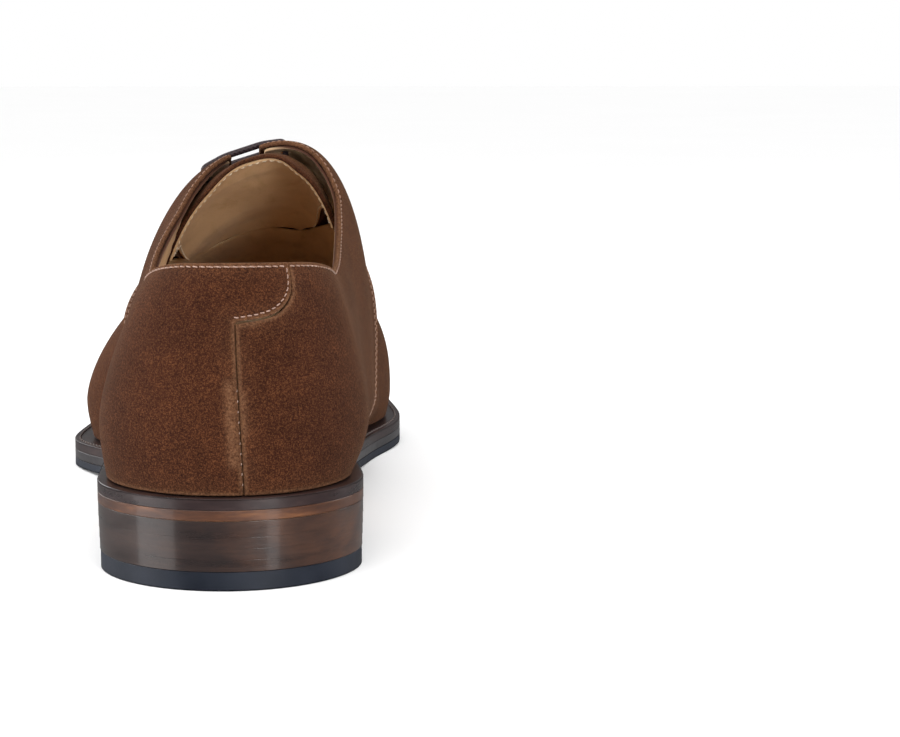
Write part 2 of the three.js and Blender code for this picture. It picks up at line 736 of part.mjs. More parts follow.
function shankStrip(margin, above) {
  const strip = new THREE.BoxGeometry(
    2 * (SHANK.half + margin), SHANK.to - SHANK.from + 2 * margin, 1, 1, 14, 1,
  );
  strip.translate(0, (SHANK.from + SHANK.to) / 2, 0.5);
  const position = strip.getAttribute("position");
  for (let i = 0; i < position.count; i++) {
    const y = position.getY(i);
    const top = below(SHANK.top - above)(y);
    const bottom = below(SHANK.top + SHANK.thick + margin)(y);
    position.setZ(i, mix(bottom, top, position.getZ(i)));
  }
  strip.deleteAttribute("normal");
  strip.deleteAttribute("uv");
  return mergeVertices(strip, 1e-3);
}

const INSOLE_EDGE = 5.9;
const PUFF_ROOM = 1.6; // the insole keeps clear of the lining over the toe puff
const INSOLE_LIFT = 0.15; // the insole's underside stands this far over the feather plane
const insoleTop = INSOLE_THICK + INSOLE_LIFT;

function insole() {
  const front = FEATHER_TOE - INSOLE_EDGE - PUFF_ROOM;
  return slab({
    from: FEATHER_BACK + INSOLE_EDGE, to: front, back: FEATHER_BACK + INSOLE_EDGE, toe: front,
    stations: 32, topZ: below(-insoleTop), bottomZ: below(-INSOLE_LIFT),
    grow: (side, y) => -INSOLE_EDGE - PUFF_ROOM * smooth(y, PUFF_REAR_Y - 30, PUFF_REAR_Y),
  });
}

function heelSock() {
  const edge = INSOLE_EDGE + 0.6;
  return slab({
    from: FEATHER_BACK + edge, to: 62, back: FEATHER_BACK + edge, toe: FEATHER_TOE, stations: 16,
    grow: inset(edge), cut: "front",
    topZ: below(-insoleTop - SEAM - HEEL_SOCK_THICK), bottomZ: below(-insoleTop - SEAM),
  });
}

// ---------- heel ----------

const HEEL_TAPER = 0.5; // each side, from the seat down to the floor
const HEEL_SEAT_Z = 16.8; // lowest point of the sole over the heel, at its breast

function heelSlice(bottomZ, topZ) {
  const taper = HEEL_TAPER * (1 - bottomZ / HEEL_SEAT_Z);
  return slab({
    from: SOLE_BACK + taper, to: HEEL_BREAST_Y, back: SOLE_BACK + taper, toe: SOLE_TOE,
    stations: 18, cut: "front", grow: (side, y) => side.overhang(y) - taper,
    topZ: (y) => (topZ >= HEEL_SEAT_Z ? below(outsoleBottom + SEAM)(y) : topZ),
    bottomZ: () => bottomZ,
  });
}

function heelLift(index) {
  const pitch = (HEEL_SEAT_Z - TOP_LIFT_THICK) / LIFT_COUNT;
  const bottom = TOP_LIFT_THICK + SEAM + pitch * index;
  const top = index === LIFT_COUNT - 1 ? HEEL_SEAT_Z : bottom + pitch - SEAM;
  return heelSlice(bottom, top);
}

// ---------- assembly ----------

const shoe = new THREE.Group();
shoe.name = "derby_shoe";

function add(name, geometry, material) {
  const mesh = new THREE.Mesh(geometry, material);
  mesh.name = name;
  shoe.add(mesh);
}

add("heel_top_lift", heelSlice(0, TOP_LIFT_THICK), rubber);
for (let i = 0; i < LIFT_COUNT; i++) add(`heel_lift_${i + 1}`, heelLift(i), stackLeather);
add("outsole", outsole(), soleLeather);
add("half_sole", halfSole(), rubber);
add("welt", welt(), edgeLeather);
add("cork_filler", filler(), cork);
add("shank", shankStrip(0, 0), steel);
add("insole", insole(), fibreBoard);
add("heel_sock", heelSock(), liningLeather);
add("heel_counter", heelCounter(), fibreBoard);
add("toe_puff", toePuff(), fibreBoard);
add("quarter_lateral", lateralQuarter(), suede);
add("quarter_medial", medialQuarter(), suede);
add("vamp", vamp(), suede);
add("quarter_lining_lateral", quarterLining(-1), liningLeather);
add("quarter_lining_medial", quarterLining(1), liningLeather);
add("vamp_lining", vampLining(), liningLeather);
add("tongue", tongueSheet(0, TONGUE_THICK), suede);
add("tongue_lining", tongueSheet(TONGUE_THICK + 0.3, TONGUE_LINING_THICK), liningLeather);
add("lace", lace(), cotton);
add("aglet_lower", agletAt("lower"), aglet);
add("aglet_upper", agletAt("upper"), aglet);

export default shoe;
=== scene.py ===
import math

import bmesh
import bpy
import numpy as np
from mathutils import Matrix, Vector
from mathutils.bvhtree import BVHTree
from mathutils.kdtree import KDTree


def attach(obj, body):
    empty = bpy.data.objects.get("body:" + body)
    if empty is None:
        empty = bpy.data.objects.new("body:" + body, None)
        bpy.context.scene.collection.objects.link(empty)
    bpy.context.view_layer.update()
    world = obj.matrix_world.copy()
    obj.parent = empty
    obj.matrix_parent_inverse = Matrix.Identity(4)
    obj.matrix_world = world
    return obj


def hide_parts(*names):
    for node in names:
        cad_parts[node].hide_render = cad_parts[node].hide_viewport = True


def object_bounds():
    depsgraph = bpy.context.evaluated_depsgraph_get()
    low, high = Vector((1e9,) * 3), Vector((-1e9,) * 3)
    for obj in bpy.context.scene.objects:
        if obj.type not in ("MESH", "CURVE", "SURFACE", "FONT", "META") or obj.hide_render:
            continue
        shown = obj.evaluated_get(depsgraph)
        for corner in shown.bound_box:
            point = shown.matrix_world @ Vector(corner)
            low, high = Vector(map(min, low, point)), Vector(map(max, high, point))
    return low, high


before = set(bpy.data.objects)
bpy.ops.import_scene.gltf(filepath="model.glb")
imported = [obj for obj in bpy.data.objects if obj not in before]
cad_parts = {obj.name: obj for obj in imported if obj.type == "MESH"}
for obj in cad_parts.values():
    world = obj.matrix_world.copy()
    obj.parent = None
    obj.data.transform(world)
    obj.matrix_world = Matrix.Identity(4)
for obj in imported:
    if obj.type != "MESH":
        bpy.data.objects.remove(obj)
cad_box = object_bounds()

MM = 0.001
GROOVE = 0.22  # how deep a seam's thread draws the leather in
SHOE, FLAP = "shoe", "tongue_flap"

# ---- the foot form, in millimetres


def curve(*knots):
    xs, ys = (np.array(k, float) for k in zip(*knots))
    last = len(xs) - 1
    before = np.maximum(np.arange(last + 1) - 1, 0)
    after = np.minimum(np.arange(last + 1) + 1, last)
    slope = (ys[after] - ys[before]) / (xs[after] - xs[before])

    def value(x):
        at = np.clip(np.asarray(x, float), xs[0], xs[-1])
        i = np.clip(np.searchsorted(xs, at, side="left") - 1, 0, last - 1)
        h = xs[i + 1] - xs[i]
        s = (at - xs[i]) / h
        s2, s3 = s * s, s * s * s
        return ((2 * s3 - 3 * s2 + 1) * ys[i] + (s3 - 2 * s2 + s) * h * slope[i]
                + (3 * s2 - 2 * s3) * ys[i + 1] + (s3 - s2) * h * slope[i + 1])

    return value


def mix(a, b, f):
    return a + (b - a) * f


def shares(count):
    return np.linspace(0, 1, count)


def side_of(t):
    return np.where(t < 0, -1, 1)


def smooth(x, lo, hi):
    f = np.clip((np.asarray(x, float) - lo) / (hi - lo), 0, 1)
    return f * f * (3 - 2 * f)


FEATHER_BACK, FEATHER_TOE = -36.0, 262.0
HEEL_ROUND, TOE_ROUND = 34.0, 60.0
CREST_BACK, CREST_TOE = -20.0, 236.0
BULGE_V, BULGE_HEIGHT = 0.28, 0.18
TOE_FALL, TOE_FALL_Y = 0.27, 190.0
FACING_HALF_GAP, FACING_TOP_Y = 4.3, 88.0
LINING_FOOT_Y, TAB_Y = 75.0, 141.5

feather_z = curve((-36, 24.4), (0, 24.1), (36, 23.3), (60, 19.9), (85, 14.8), (110, 10.9),
                  (140, 9), (160, 8.9), (185, 9.8), (215, 12.4), (240, 15.4), (262, 18.6))
plan_x = curve((-36, 0), (140, 0), (200, 1), (262, 3))
crest_x = curve((-20, 4), (30, 5.8), (60, 5), (90, 2), (120, 3.5), (160, 3.3), (236, 3))
crest_z = curve((-20, 102), (20, 106.5), (60, 107.4), (85, 107.4), (100, 101.7), (120, 91),
                (140, 79.5), (165, 68.5), (190, 58.5), (215, 49.5), (236, 43.5))
crest_tilt = curve((-20, 0), (30, 0.1), (60, 0.24), (90, 0.32), (120, 0.22), (160, 0.06), (236, 0))
LATERAL = dict(
    half=curve((-36, 33), (0, 33.9), (40, 34), (75, 30.2), (110, 38.6), (145, 52.3),
               (180, 49.7), (215, 44.5), (262, 37)),
    bulge=curve((-36, 0.6), (20, 1.9), (60, 0.2), (110, -0.4), (147, 2.2), (190, 1.5), (262, 0.8)),
    power=curve((-36, 1.9), (20, 1.4), (60, 2.1), (90, 2.65), (130, 1.7), (180, 1.75), (262, 2.2)),
    overhang=curve((-38, 2.2), (0, 2.4), (60, 2), (100, 3), (145, 4.4), (200, 4.4), (266, 4.2)),
)
MEDIAL = dict(
    half=curve((-36, 32.3), (0, 31.6), (40, 30.4), (75, 33.5), (110, 33.2), (145, 39),
               (180, 49.7), (215, 45), (262, 37)),
    bulge=curve((-36, 0.6), (20, 6.6), (60, 5.9), (95, 8.4), (122, 11.4), (150, 5), (180, 1.8),
                (262, 0.8)),
    power=curve((-36, 1.9), (20, 1.55), (60, 2.35), (90, 2.68), (130, 2.05), (180, 2.3), (262, 2.2)),
    overhang=curve((-38, 2.2), (0, 3.2), (60, 0.8), (100, 1.6), (145, 3), (200, 3.2), (266, 4.2)),
)
FORM_LENGTH = FEATHER_TOE - FEATHER_BACK


def station_y(t, back=FEATHER_BACK, toe=FEATHER_TOE):
    return back + (toe - back) * (1 - np.cos(np.pi * t)) / 2


def station_t(y, back=FEATHER_BACK, toe=FEATHER_TOE):
    return np.arccos(np.clip(1 - 2 * (np.asarray(y, float) - back) / (toe - back), -1, 1)) / np.pi


def wrapped(t):
    t = np.asarray(t, float)
    return np.where(t > 1, t - 2, np.where(t < -1, t + 2, t))


def by_side(t, what, y):
    return np.where(t < 0, LATERAL[what](y), MEDIAL[what](y))


def round_off(y, back, toe):
    u = np.clip(1 - (y - back) / HEEL_ROUND, 0, 1)
    w = np.clip((y - toe + TOE_ROUND) / TOE_ROUND, 0, 1)
    return np.sqrt(np.maximum(1 - u * u, 0) * np.maximum(1 - w * w, 0))


def feather_point(t):
    t = wrapped(t)
    y = station_y(t)
    half = by_side(t, "half", y) * round_off(y, FEATHER_BACK, FEATHER_TOE)
    return plan_x(y) + side_of(t) * half, y


def crest_y(y):
    return mix(CREST_BACK, CREST_TOE, (y - FEATHER_BACK) / FORM_LENGTH)


def form_point(t, v):
    """Point of the form's skin: t runs from the heel (0) to the toe (1; negative laterally), v up."""
    t, v = np.broadcast_arrays(wrapped(t), np.asarray(v, float))
    y = station_y(t)
    fx, fy = feather_point(t)
    bx, by = feather_point(t - 0.002)
    ax, ay = feather_point(t + 0.002)
    along = np.hypot(ax - bx, ay - by)
    ox, oy = (ay - by) / along, (bx - ax) / along
    cy = crest_y(y)
    cx = crest_x(cy)
    z0 = feather_z(y)
    rise = crest_z(cy) - z0
    bulge = by_side(t, "bulge", y)
    s = np.clip(v / BULGE_V, 0, 1)
    out = bulge * np.sin(s * np.pi / 2)
    low = np.stack([fx + ox * out, fy + oy * out, z0 + rise * BULGE_HEIGHT * s], -1)
    angle = np.clip((v - BULGE_V) / (1 - BULGE_V), 0, 1) * np.pi / 2
    power = 2 / by_side(t, "power", y)
    wide = np.maximum(np.cos(angle), 0) ** power
    high = BULGE_HEIGHT + (1 - BULGE_HEIGHT) * np.sin(angle) ** power
    dx = (fx + ox * bulge - cx) * wide
    dy = (fy + oy * bulge - cy) * wide
    lean = crest_tilt(cy) * dx - TOE_FALL * smooth(cy, TOE_FALL_Y, CREST_TOE) * dy
    top = np.stack([cx + dx, cy + dy, z0 + rise * high + lean * high * high], -1)
    return np.where((v <= BULGE_V)[..., None], low, top)


def right_of(along):
    """The plan directions a quarter turn clockwise from these."""
    return np.stack([along[:, 1], -along[:, 0]], -1)


def unit(vectors):
    return vectors / np.maximum(np.linalg.norm(vectors, axis=-1, keepdims=True), 1e-9)


def form_normal(t, v):
    e = 0.004
    t, v = np.broadcast_arrays(np.asarray(t, float), np.asarray(v, float))
    dt = form_point(t + e, v) - form_point(t - e, v)
    dv = form_point(t, np.minimum(v + e, 1)) - form_point(t, np.maximum(v - e, 0))
    y = crest_y(station_y(wrapped(t)))
    slope = crest_z(y + 0.5) - crest_z(y - 0.5)
    crest = unit(np.stack([-crest_tilt(y), -slope, np.ones_like(y)], -1))
    return unit(mix(unit(np.cross(dt, dv)), crest, smooth(v, 0.96, 1)[..., None]))


def layer_point(t, v, depth):
    return form_point(t, v) + form_normal(t, v) * np.asarray(depth)[..., None]


def solve_v(shape, test):
    low, high = np.zeros(shape), np.ones(shape)
    for _ in range(30):
        middle = (low + high) / 2
        yes = test(middle)
        low, high = np.where(yes, middle, low), np.where(yes, high, middle)
    return (low + high) / 2


def v_at_height(t, z):
    t, z = np.broadcast_arrays(np.asarray(t, float), np.asarray(z, float))
    return solve_v(t.shape, lambda v: form_point(t, v)[..., 2] < z)


def v_at_crest_distance(t, distance):
    t, distance = np.broadcast_arrays(np.asarray(t, float), np.asarray(distance, float))
    crest = form_point(t, np.ones(t.shape))

    def test(v):
        p = form_point(t, v)
        return np.hypot(p[..., 0] - crest[..., 0], p[..., 1] - crest[..., 1]) > distance

    return solve_v(t.shape, test)


topline_z = curve((-36, 83.8), (-20, 82.5), (0, 79), (15, 77.3), (30, 78.5), (46, 83.5),
                  (60, 90.5), (72, 97.5), (82, 102.5), (88, 105.5))
ankle_dip = curve((-30, 0), (-5, 2.2), (12, 4.2), (32, 3.6), (50, 1.5), (66, 0))
T_TABLE = np.linspace(-1, 1, 2401)
FACING_TABLE = v_at_crest_distance(T_TABLE, FACING_HALF_GAP)
OPEN_Z = topline_z(station_y(T_TABLE)) - np.where(T_TABLE < 0, ankle_dip(station_y(T_TABLE)), 0)
TOP_TABLE = mix(v_at_height(T_TABLE, OPEN_Z), FACING_TABLE,
                smooth(station_y(T_TABLE), 66, FACING_TOP_Y))


def facing_v(t):
    return np.interp(t, T_TABLE, FACING_TABLE)


def topline_v(t):
    return np.interp(t, T_TABLE, TOP_TABLE)


def step_v(t, v, distance):
    """The v that lies this far below v, measured on the surface."""
    rate = np.linalg.norm(form_point(t, v) - form_point(t, v - 0.01), axis=-1) / 0.01
    return v - distance / rate


TAIL_Z = 69  # the height at which the tail leaves the back seam
back_seam_t = curve((23, 0.017), (TAIL_Z, 0.006))
tail_t = curve((TAIL_Z, 0.006), (69.6, 0.034), (70.8, 0.06), (73.2, 0.08), (77, 0.094), (86, 0.1))
SEAM_GAP_T = 0.0008


def lateral_end_t(z):
    return np.where(z < TAIL_Z, back_seam_t(z), tail_t(z))


def medial_end_t(z):
    low = back_seam_t(z)
    z = z + 0.35
    return np.where(z < TAIL_Z, low, np.maximum(tail_t(z), back_seam_t(z))) + SEAM_GAP_T


quarter_front_v = curve((88, 0), (99, 0.18), (111, 0.39), (125, 0.62), (134, 0.76), (138.5, 0.83),
                        (140.8, 0.885), (TAB_Y, 0.945))
LINING_END_Y = 119.0
lining_front_v = curve((LINING_FOOT_Y, 0), (84.5, 0.17), (94, 0.34), (105, 0.53), (LINING_END_Y, 0.78))
vamp_rear_y = curve((0, 76), (0.4, 99), (0.62, 114), (0.8, 124), (1, 126))
vamp_lining_rear_y = curve((0, 76), (0.4, 99), (0.6, 111), (0.67, 117), (0.715, 124.5), (0.74, 129),
                           (0.77, 134), (0.8, 138), (0.86, 142), (1, 143))


def quarter_patch(sign, end_t, front_v, front_ends, below_top=0.0):
    """Columns run from the back edge through the lining's foot and the facing's top to the front ends.
    p counts those spans in turn: 0 to 1 up to the first station, 1 to 2 up to the next, and so on."""
    knots = [sign * station_t(y) for y in (LINING_FOOT_Y, FACING_TOP_Y, *front_ends)]

    def at(p, q):
        start = end_t(form_point(1e-4, q * topline_v(0.0))[..., 2])
        t = mix(start, knots[0], np.minimum(p, 1))
        for k in range(1, len(knots)):
            t = np.where(p > k, mix(knots[k - 1], knots[k], np.clip(p - k, 0, 1)), t)
        y = station_y(t)
        upper = np.where(y <= FACING_TOP_Y, topline_v(t), facing_v(t))
        if below_top:
            upper = step_v(t, upper, below_top)
        lower = np.where(t * sign > 0, np.maximum(front_v(y), 0), 0)
        return t, mix(lower, upper, q)

    return at


# ---- mesh helpers


def add_object(name, data):
    obj = bpy.data.objects.new(name, data)
    bpy.context.scene.collection.objects.link(obj)
    return obj


def mesh_of(name, bm):
    mesh = bpy.data.meshes.new(name)
    bm.to_mesh(mesh)
    bm.free()
    return mesh


def turn(obj, direction, axis="-Z"):
    obj.rotation_mode = "QUATERNION"
    obj.rotation_quaternion = direction.to_track_quat(axis, "Y")


def walls(first, rings, sides, span=None):
    """Quads between rings of points that are stored one after another."""
    return [(first + r * sides + k, first + r * sides + (k + 1) % sides,
             first + (r + 1) * sides + (k + 1) % sides, first + (r + 1) * sides + k)
            for r in range(rings - 1) for k in range(span or sides)]


def new_object(name, points, faces, material, body, node=None, smooth_angle=50):
    mesh = bpy.data.meshes.new(name)
    mesh.from_pydata((np.asarray(points) * MM).tolist(), [], [tuple(map(int, f)) for f in faces])
    mesh.validate()
    bm = bmesh.new()
    bm.from_mesh(mesh)
    bmesh.ops.recalc_face_normals(bm, faces=bm.faces)
    if bm.calc_volume(signed=True) < 0:
        bmesh.ops.reverse_faces(bm, faces=bm.faces)
    bm.to_mesh(mesh)
    bm.free()
    mesh.materials.append(material)
    obj = add_object(name, mesh)
    mesh.shade_smooth()
    if smooth_angle:
        mesh.set_sharp_from_angle(angle=math.radians(smooth_angle))
    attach(obj, body)
    if node:
        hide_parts(*([node] if isinstance(node, str) else node))
    return obj


def run_of(line):
    """How far along the line each of its points is."""
    return np.r_[0, np.cumsum(np.linalg.norm(np.diff(line, axis=0), axis=1))]


def resample(line, pitch):
    line = np.asarray(line, float)
    lengths = run_of(line)
    count = max(int(round(lengths[-1] / pitch)), 1)
    at = np.linspace(0, lengths[-1], count + 1)
    return np.stack([np.interp(at, lengths, line[:, k]) for k in range(3)], -1)


def distance_to(points, lines):
    """Distance of each point to the nearest of some lines, looked up in a tree of close samples."""
    if not len(lines):
        return np.full(len(points), 1e3)
    samples = np.concatenate([resample(line, 0.3) for line in lines])
    tree = KDTree(len(samples))
    for i, p in enumerate(samples):
        tree.insert(p, i)
    tree.balance()
    return np.array([tree.find(p)[2] for p in points])


def ripple(points, size, seed):
    """Soft undulation from a few summed waves, between about -1 and 1."""
    rng = np.random.default_rng(seed)
    total = np.zeros(len(points))
    for _ in range(9):
        direction = rng.normal(size=3)
        direction /= np.linalg.norm(direction)
        length = size * rng.uniform(0.7, 1.5)
        total += np.sin(points @ direction * 2 * np.pi / length + rng.uniform(0, 7))
    return total / 4.5


def sheet(name, material, at, p, q, depth, body, node, slot, rim=0.35, stitched=(), joined_top=False,
          relief=None, waves=(0.12, 26, 1), rubs=(), edge_rub=0.5, edge_band=None):
    """A sheet of leather with rolled edges. stitched are lines along which its face is drawn in."""
    t, v = at(*np.meshgrid(p, q))
    rows, columns = t.shape
    normal = form_normal(t, v)
    base = form_point(t, v)
    d_out, d_in = depth(t, v)
    flat = base.reshape(-1, 3)
    size, length, seed = waves
    wave = size * ripple(flat, length, seed).reshape(t.shape)
    drawn = distance_to(flat, stitched).reshape(t.shape)
    d_face = d_out + wave - GROOVE * np.exp(-(drawn / 0.75) ** 2)
    if relief is not None:
        d_face = d_face + relief(t, v, base)
    outer = base + normal * d_face[..., None]
    inner = base + normal * (d_in + wave)[..., None]

    ring = [(0, i) for i in range(columns)]
    ring += [(j, columns - 1) for j in range(1, rows)]
    if not joined_top:
        ring += [(rows - 1, i) for i in range(columns - 2, -1, -1)]
        ring += [(j, 0) for j in range(rows - 2, 0, -1)]
    else:
        ring = [(j, 0) for j in range(rows - 1, 0, -1)] + ring
    inward = [(min(max(j, 1), rows - 2), min(max(i, 1), columns - 2)) for j, i in ring]
    if joined_top:
        inward = [(j if j == rows - 1 else jj, ii) for (j, i), (jj, ii) in zip(ring, inward)]
    rj, ri = np.array(ring).T
    nj, ni = np.array(inward).T
    middle_outer, middle_inner, n = outer[rj, ri], inner[rj, ri], normal[rj, ri]
    e = base[rj, ri] - base[nj, ni]
    e = unit(e - (e * n).sum(-1, keepdims=True) * n)
    centre = (middle_outer + middle_inner) / 2 - e * rim
    half = np.linalg.norm(middle_outer - middle_inner, axis=-1, keepdims=True) / 2
    outer[rj, ri] = middle_outer - e * rim
    inner[rj, ri] = middle_inner - e * rim
    arcs = [centre + n * half * math.cos(a) + e * rim * math.sin(a)
            for a in (math.pi * k / 5 for k in range(1, 5))]

    count = rows * columns
    index = np.arange(count).reshape(rows, columns)
    top_index = index.copy()
    if joined_top:
        top_index[-1] = np.minimum(index[-1], index[-1][::-1])
    points = np.concatenate([outer.reshape(-1, 3), inner.reshape(-1, 3), *arcs])
    a, b = top_index[:-1, :-1], top_index[:-1, 1:]
    c, d = top_index[1:, 1:], top_index[1:, :-1]
    quads = np.stack([a, b, c, d], -1).reshape(-1, 4)
    faces = [*quads, *(quads[:, ::-1] + count)]
    loops = [top_index[rj, ri]]
    loops += [2 * count + k * len(ring) + np.arange(len(ring)) for k in range(len(arcs))]
    loops += [top_index[rj, ri] + count]
    if joined_top:  # the two ends of the open edge meet at the toe
        for loop in loops:
            loop[-1] = loop[0]
    around = len(ring)
    steps = range(around - 1 if joined_top else around)
    for one, two in zip(loops[:-1], loops[1:]):
        faces += [(one[k], one[(k + 1) % around], two[(k + 1) % around], two[k]) for k in steps]
    faces = [tuple(dict.fromkeys(map(int, f))) for f in faces]
    faces = [f for f in faces if len(f) >= 3]
    used = np.unique(np.concatenate([np.array(f) for f in faces]))
    renumber = np.full(len(points), -1)
    renumber[used] = np.arange(len(used))
    faces = [tuple(renumber[list(f)]) for f in faces]
    obj = new_object(name, points[used], faces, material, body, node)
    edge_gap = distance_to(points[used], [base[rj, ri]])
    band = edge_band(points[used]) if edge_band else 1.0
    rub = edge_rub * (np.exp(-(edge_gap / band) ** 4) + 0.2 * np.exp(-(edge_gap / 4.0) ** 2))
    for line, width, strength in rubs:
        rub = np.maximum(rub, strength * np.exp(-(distance_to(points[used], [line]) / width) ** 2))
    rubbed = obj.data.attributes.new("rub", "FLOAT", "POINT")
    rubbed.data.foreach_set("value", np.clip(rub, 0, 1).astype(np.float32))
    return obj


def surface_of(obj):
    mesh = obj.data
    return BVHTree.FromPolygons([v.co[:] for v in mesh.vertices],
                                [p.vertices[:] for p in mesh.polygons])


def shifted(t, v, distance):
    """The surface line through these (t, v), moved to the left of its run, seen from outside."""
    points = form_point(t, v)
    along = unit(np.gradient(points, axis=0))
    return points + unit(np.cross(form_normal(t, v), along)) * distance


def stitches(lines, surface, pitch=2.1, share=0.72, radius=0.2, lift=0.05):
    """Mesh data of thread stitches that follow lines over a surface, sunk in at both ends."""
    points, faces = [], []
    profile = ((0, -1.1, 0.55), (0.12, 0.1, 0.95), (0.5, 0.55, 1), (0.88, 0.1, 0.95), (1, -1.1, 0.55))
    sides = 6
    for line in lines:
        dots = resample(line, pitch)
        for a, b in zip(dots[:-1], dots[1:]):
            a, b = Vector(a), Vector(b)
            end = a + (b - a) * share
            rings = []
            for f, high, wide in profile:
                at = a.lerp(end, f)
                near, n, _, _ = surface.find_nearest(at * MM)
                if near is None:
                    break
                along = (end - a).normalized()
                across = along.cross(n).normalized()
                up = across.cross(along).normalized()
                centre = near / MM + n * (lift + high * radius) + across * (f - 0.5) * 0.16
                rings.append([centre + across * radius * wide * math.cos(w)
                              + up * radius * wide * math.sin(w)
                              for w in (2 * math.pi * k / sides for k in range(sides))])
            if len(rings) < len(profile):
                continue
            start = len(points)
            points += [p for ring in rings for p in ring]
            faces += walls(start, len(rings), sides)
            faces.append(tuple(start + k for k in reversed(range(sides))))
            faces.append(tuple(start + (len(rings) - 1) * sides + k for k in range(sides)))
    return points, faces


def thread(name, sewn, material, body, **how):
    """One object for several groups of lines, each sewn onto its own surface."""
    points, faces = [], []
    for lines, surface in sewn:
        some, more = stitches(lines, surface, **how)
        faces += [tuple(i + len(points) for i in f) for f in more]
        points += some
    points = [tuple(p) for p in points]
    return new_object(name, points, faces, material, body, smooth_angle=0)


# ---- materials

SOCKETS = dict(
    roughness="Roughness", metallic="Metallic", specular="Specular IOR Level", sheen="Sheen Weight",
    sheen_rough="Sheen Roughness", sheen_tint="Sheen Tint", coat="Coat Weight", coat_rough="Coat Roughness")
MIX_A, MIX_B, MIX_OUT = 6, 7, 2  # the colour sockets of a Mix node


class Mat:
    """A small helper that wires one Principled material from object-space patterns."""

    def __init__(self, name, **look):
        self.material = bpy.data.materials.new(name)
        self.material.use_nodes = True
        self.tree = self.material.node_tree
        self.shader = self.tree.nodes["Principled BSDF"]
        for key, value in look.items():
            self.put(value, self.shader.inputs[SOCKETS[key]])
        self.place = self.node("ShaderNodeTexCoord", "Object")

    def put(self, value, socket):
        """Links an output to the socket, or sets it to a number, vector or colour (a tuple)."""
        if isinstance(value, bpy.types.NodeSocket):
            self.tree.links.new(value, socket)
        else:
            socket.default_value = (*value, 1) if isinstance(value, tuple) else value
        return self

    def node(self, kind, output, inputs=None, **settings):
        node = self.tree.nodes.new(kind)
        for key, value in settings.items():
            setattr(node, key, value)
        for key, value in (inputs or {}).items():
            self.put(value, node.inputs[key])
        return node.outputs[output]

    def noise(self, scale, detail=3, rough=0.55, stretch=None, distortion=0.0):
        place = self.place
        if stretch:
            place = self.node("ShaderNodeMapping", "Vector", {"Vector": place, "Scale": Vector(stretch)})
        inputs = {"Vector": place, "Scale": scale, "Detail": detail, "Roughness": rough,
                  "Distortion": distortion}
        return self.node("ShaderNodeTexNoise", "Fac", inputs)

    def cells(self, scale):
        return self.node("ShaderNodeTexVoronoi", "Distance", {"Vector": self.place, "Scale": scale})

    def ramp(self, value, *stops):
        node = self.tree.nodes.new("ShaderNodeValToRGB")
        elements = node.color_ramp.elements
        while len(elements) < len(stops):
            elements.new(0.5)
        for element, (position, colour) in zip(elements, stops):
            element.position = position
            element.color = (*colour, 1)
        self.put(value, node.inputs["Fac"])
        return node.outputs["Color"]

    def math(self, operation, *values, clamp=False):
        return self.node("ShaderNodeMath", 0, dict(enumerate(values)),
                         operation=operation, use_clamp=clamp)

    def spread(self, value, lo, hi, to_lo=0.0, to_hi=1.0):
        inputs = {"Value": value, "From Min": lo, "From Max": hi, "To Min": to_lo, "To Max": to_hi}
        return self.node("ShaderNodeMapRange", "Result", inputs)

    def blend(self, factor, a, b, kind="MIX"):
        inputs = {"Factor": factor, MIX_A: a, MIX_B: b}
        return self.node("ShaderNodeMix", MIX_OUT, inputs, data_type="RGBA", blend_type=kind)

    def attribute(self, name):
        return self.node("ShaderNodeAttribute", "Fac", attribute_name=name)

    def axis(self, which, vector=None):
        return self.node("ShaderNodeSeparateXYZ", which, {0: vector if vector else self.place})

    def colour(self, value):
        return self.put(value, self.shader.inputs["Base Color"])

    def roughness(self, value):
        return self.put(value, self.shader.inputs["Roughness"])

    def bump(self, height, strength, distance):
        inputs = {"Strength": strength, "Distance": distance, "Height": height}
        return self.put(self.node("ShaderNodeBump", "Normal", inputs), self.shader.inputs["Normal"])


def suede_material():
    m = Mat("suede", roughness=0.95, specular=0.1, sheen=0.13, sheen_rough=0.3,
            sheen_tint=(0.66, 0.36, 0.18))
    nap = m.noise(3600, 1, 0.6)
    tufts = m.noise(1700, 2, 0.6)
    strokes = m.noise(230, 3, 0.6, distortion=0.4)
    clouds = m.noise(40, 3, 0.5, distortion=0.3)
    grain = m.math("ADD", m.math("MULTIPLY", nap, 0.58), m.math("MULTIPLY", tufts, 0.42))
    fine = m.ramp(grain, (0.36, (0.0165, 0.0047, 0.002)), (0.5, (0.038, 0.0114, 0.0046)),
                  (0.64, (0.092, 0.033, 0.013)))
    broad = m.math("ADD", m.math("MULTIPLY", strokes, 0.5), m.math("MULTIPLY", clouds, 0.5))
    shade = m.ramp(broad, (0.34, (0.76, 0.74, 0.72)), (0.5, (1, 1, 1)), (0.66, (1.24, 1.24, 1.2)))
    body = m.blend(1.0, fine, shade, "MULTIPLY")
    rub = m.math("MULTIPLY", m.attribute("rub"), m.spread(tufts, 0.3, 0.7, 0.25, 1.0), clamp=True)
    m.colour(m.blend(rub, body, (0.2, 0.1, 0.052)))
    height = m.math("ADD", grain, m.math("MULTIPLY", strokes, 0.35))
    return m.bump(height, 0.55, 0.0006).material


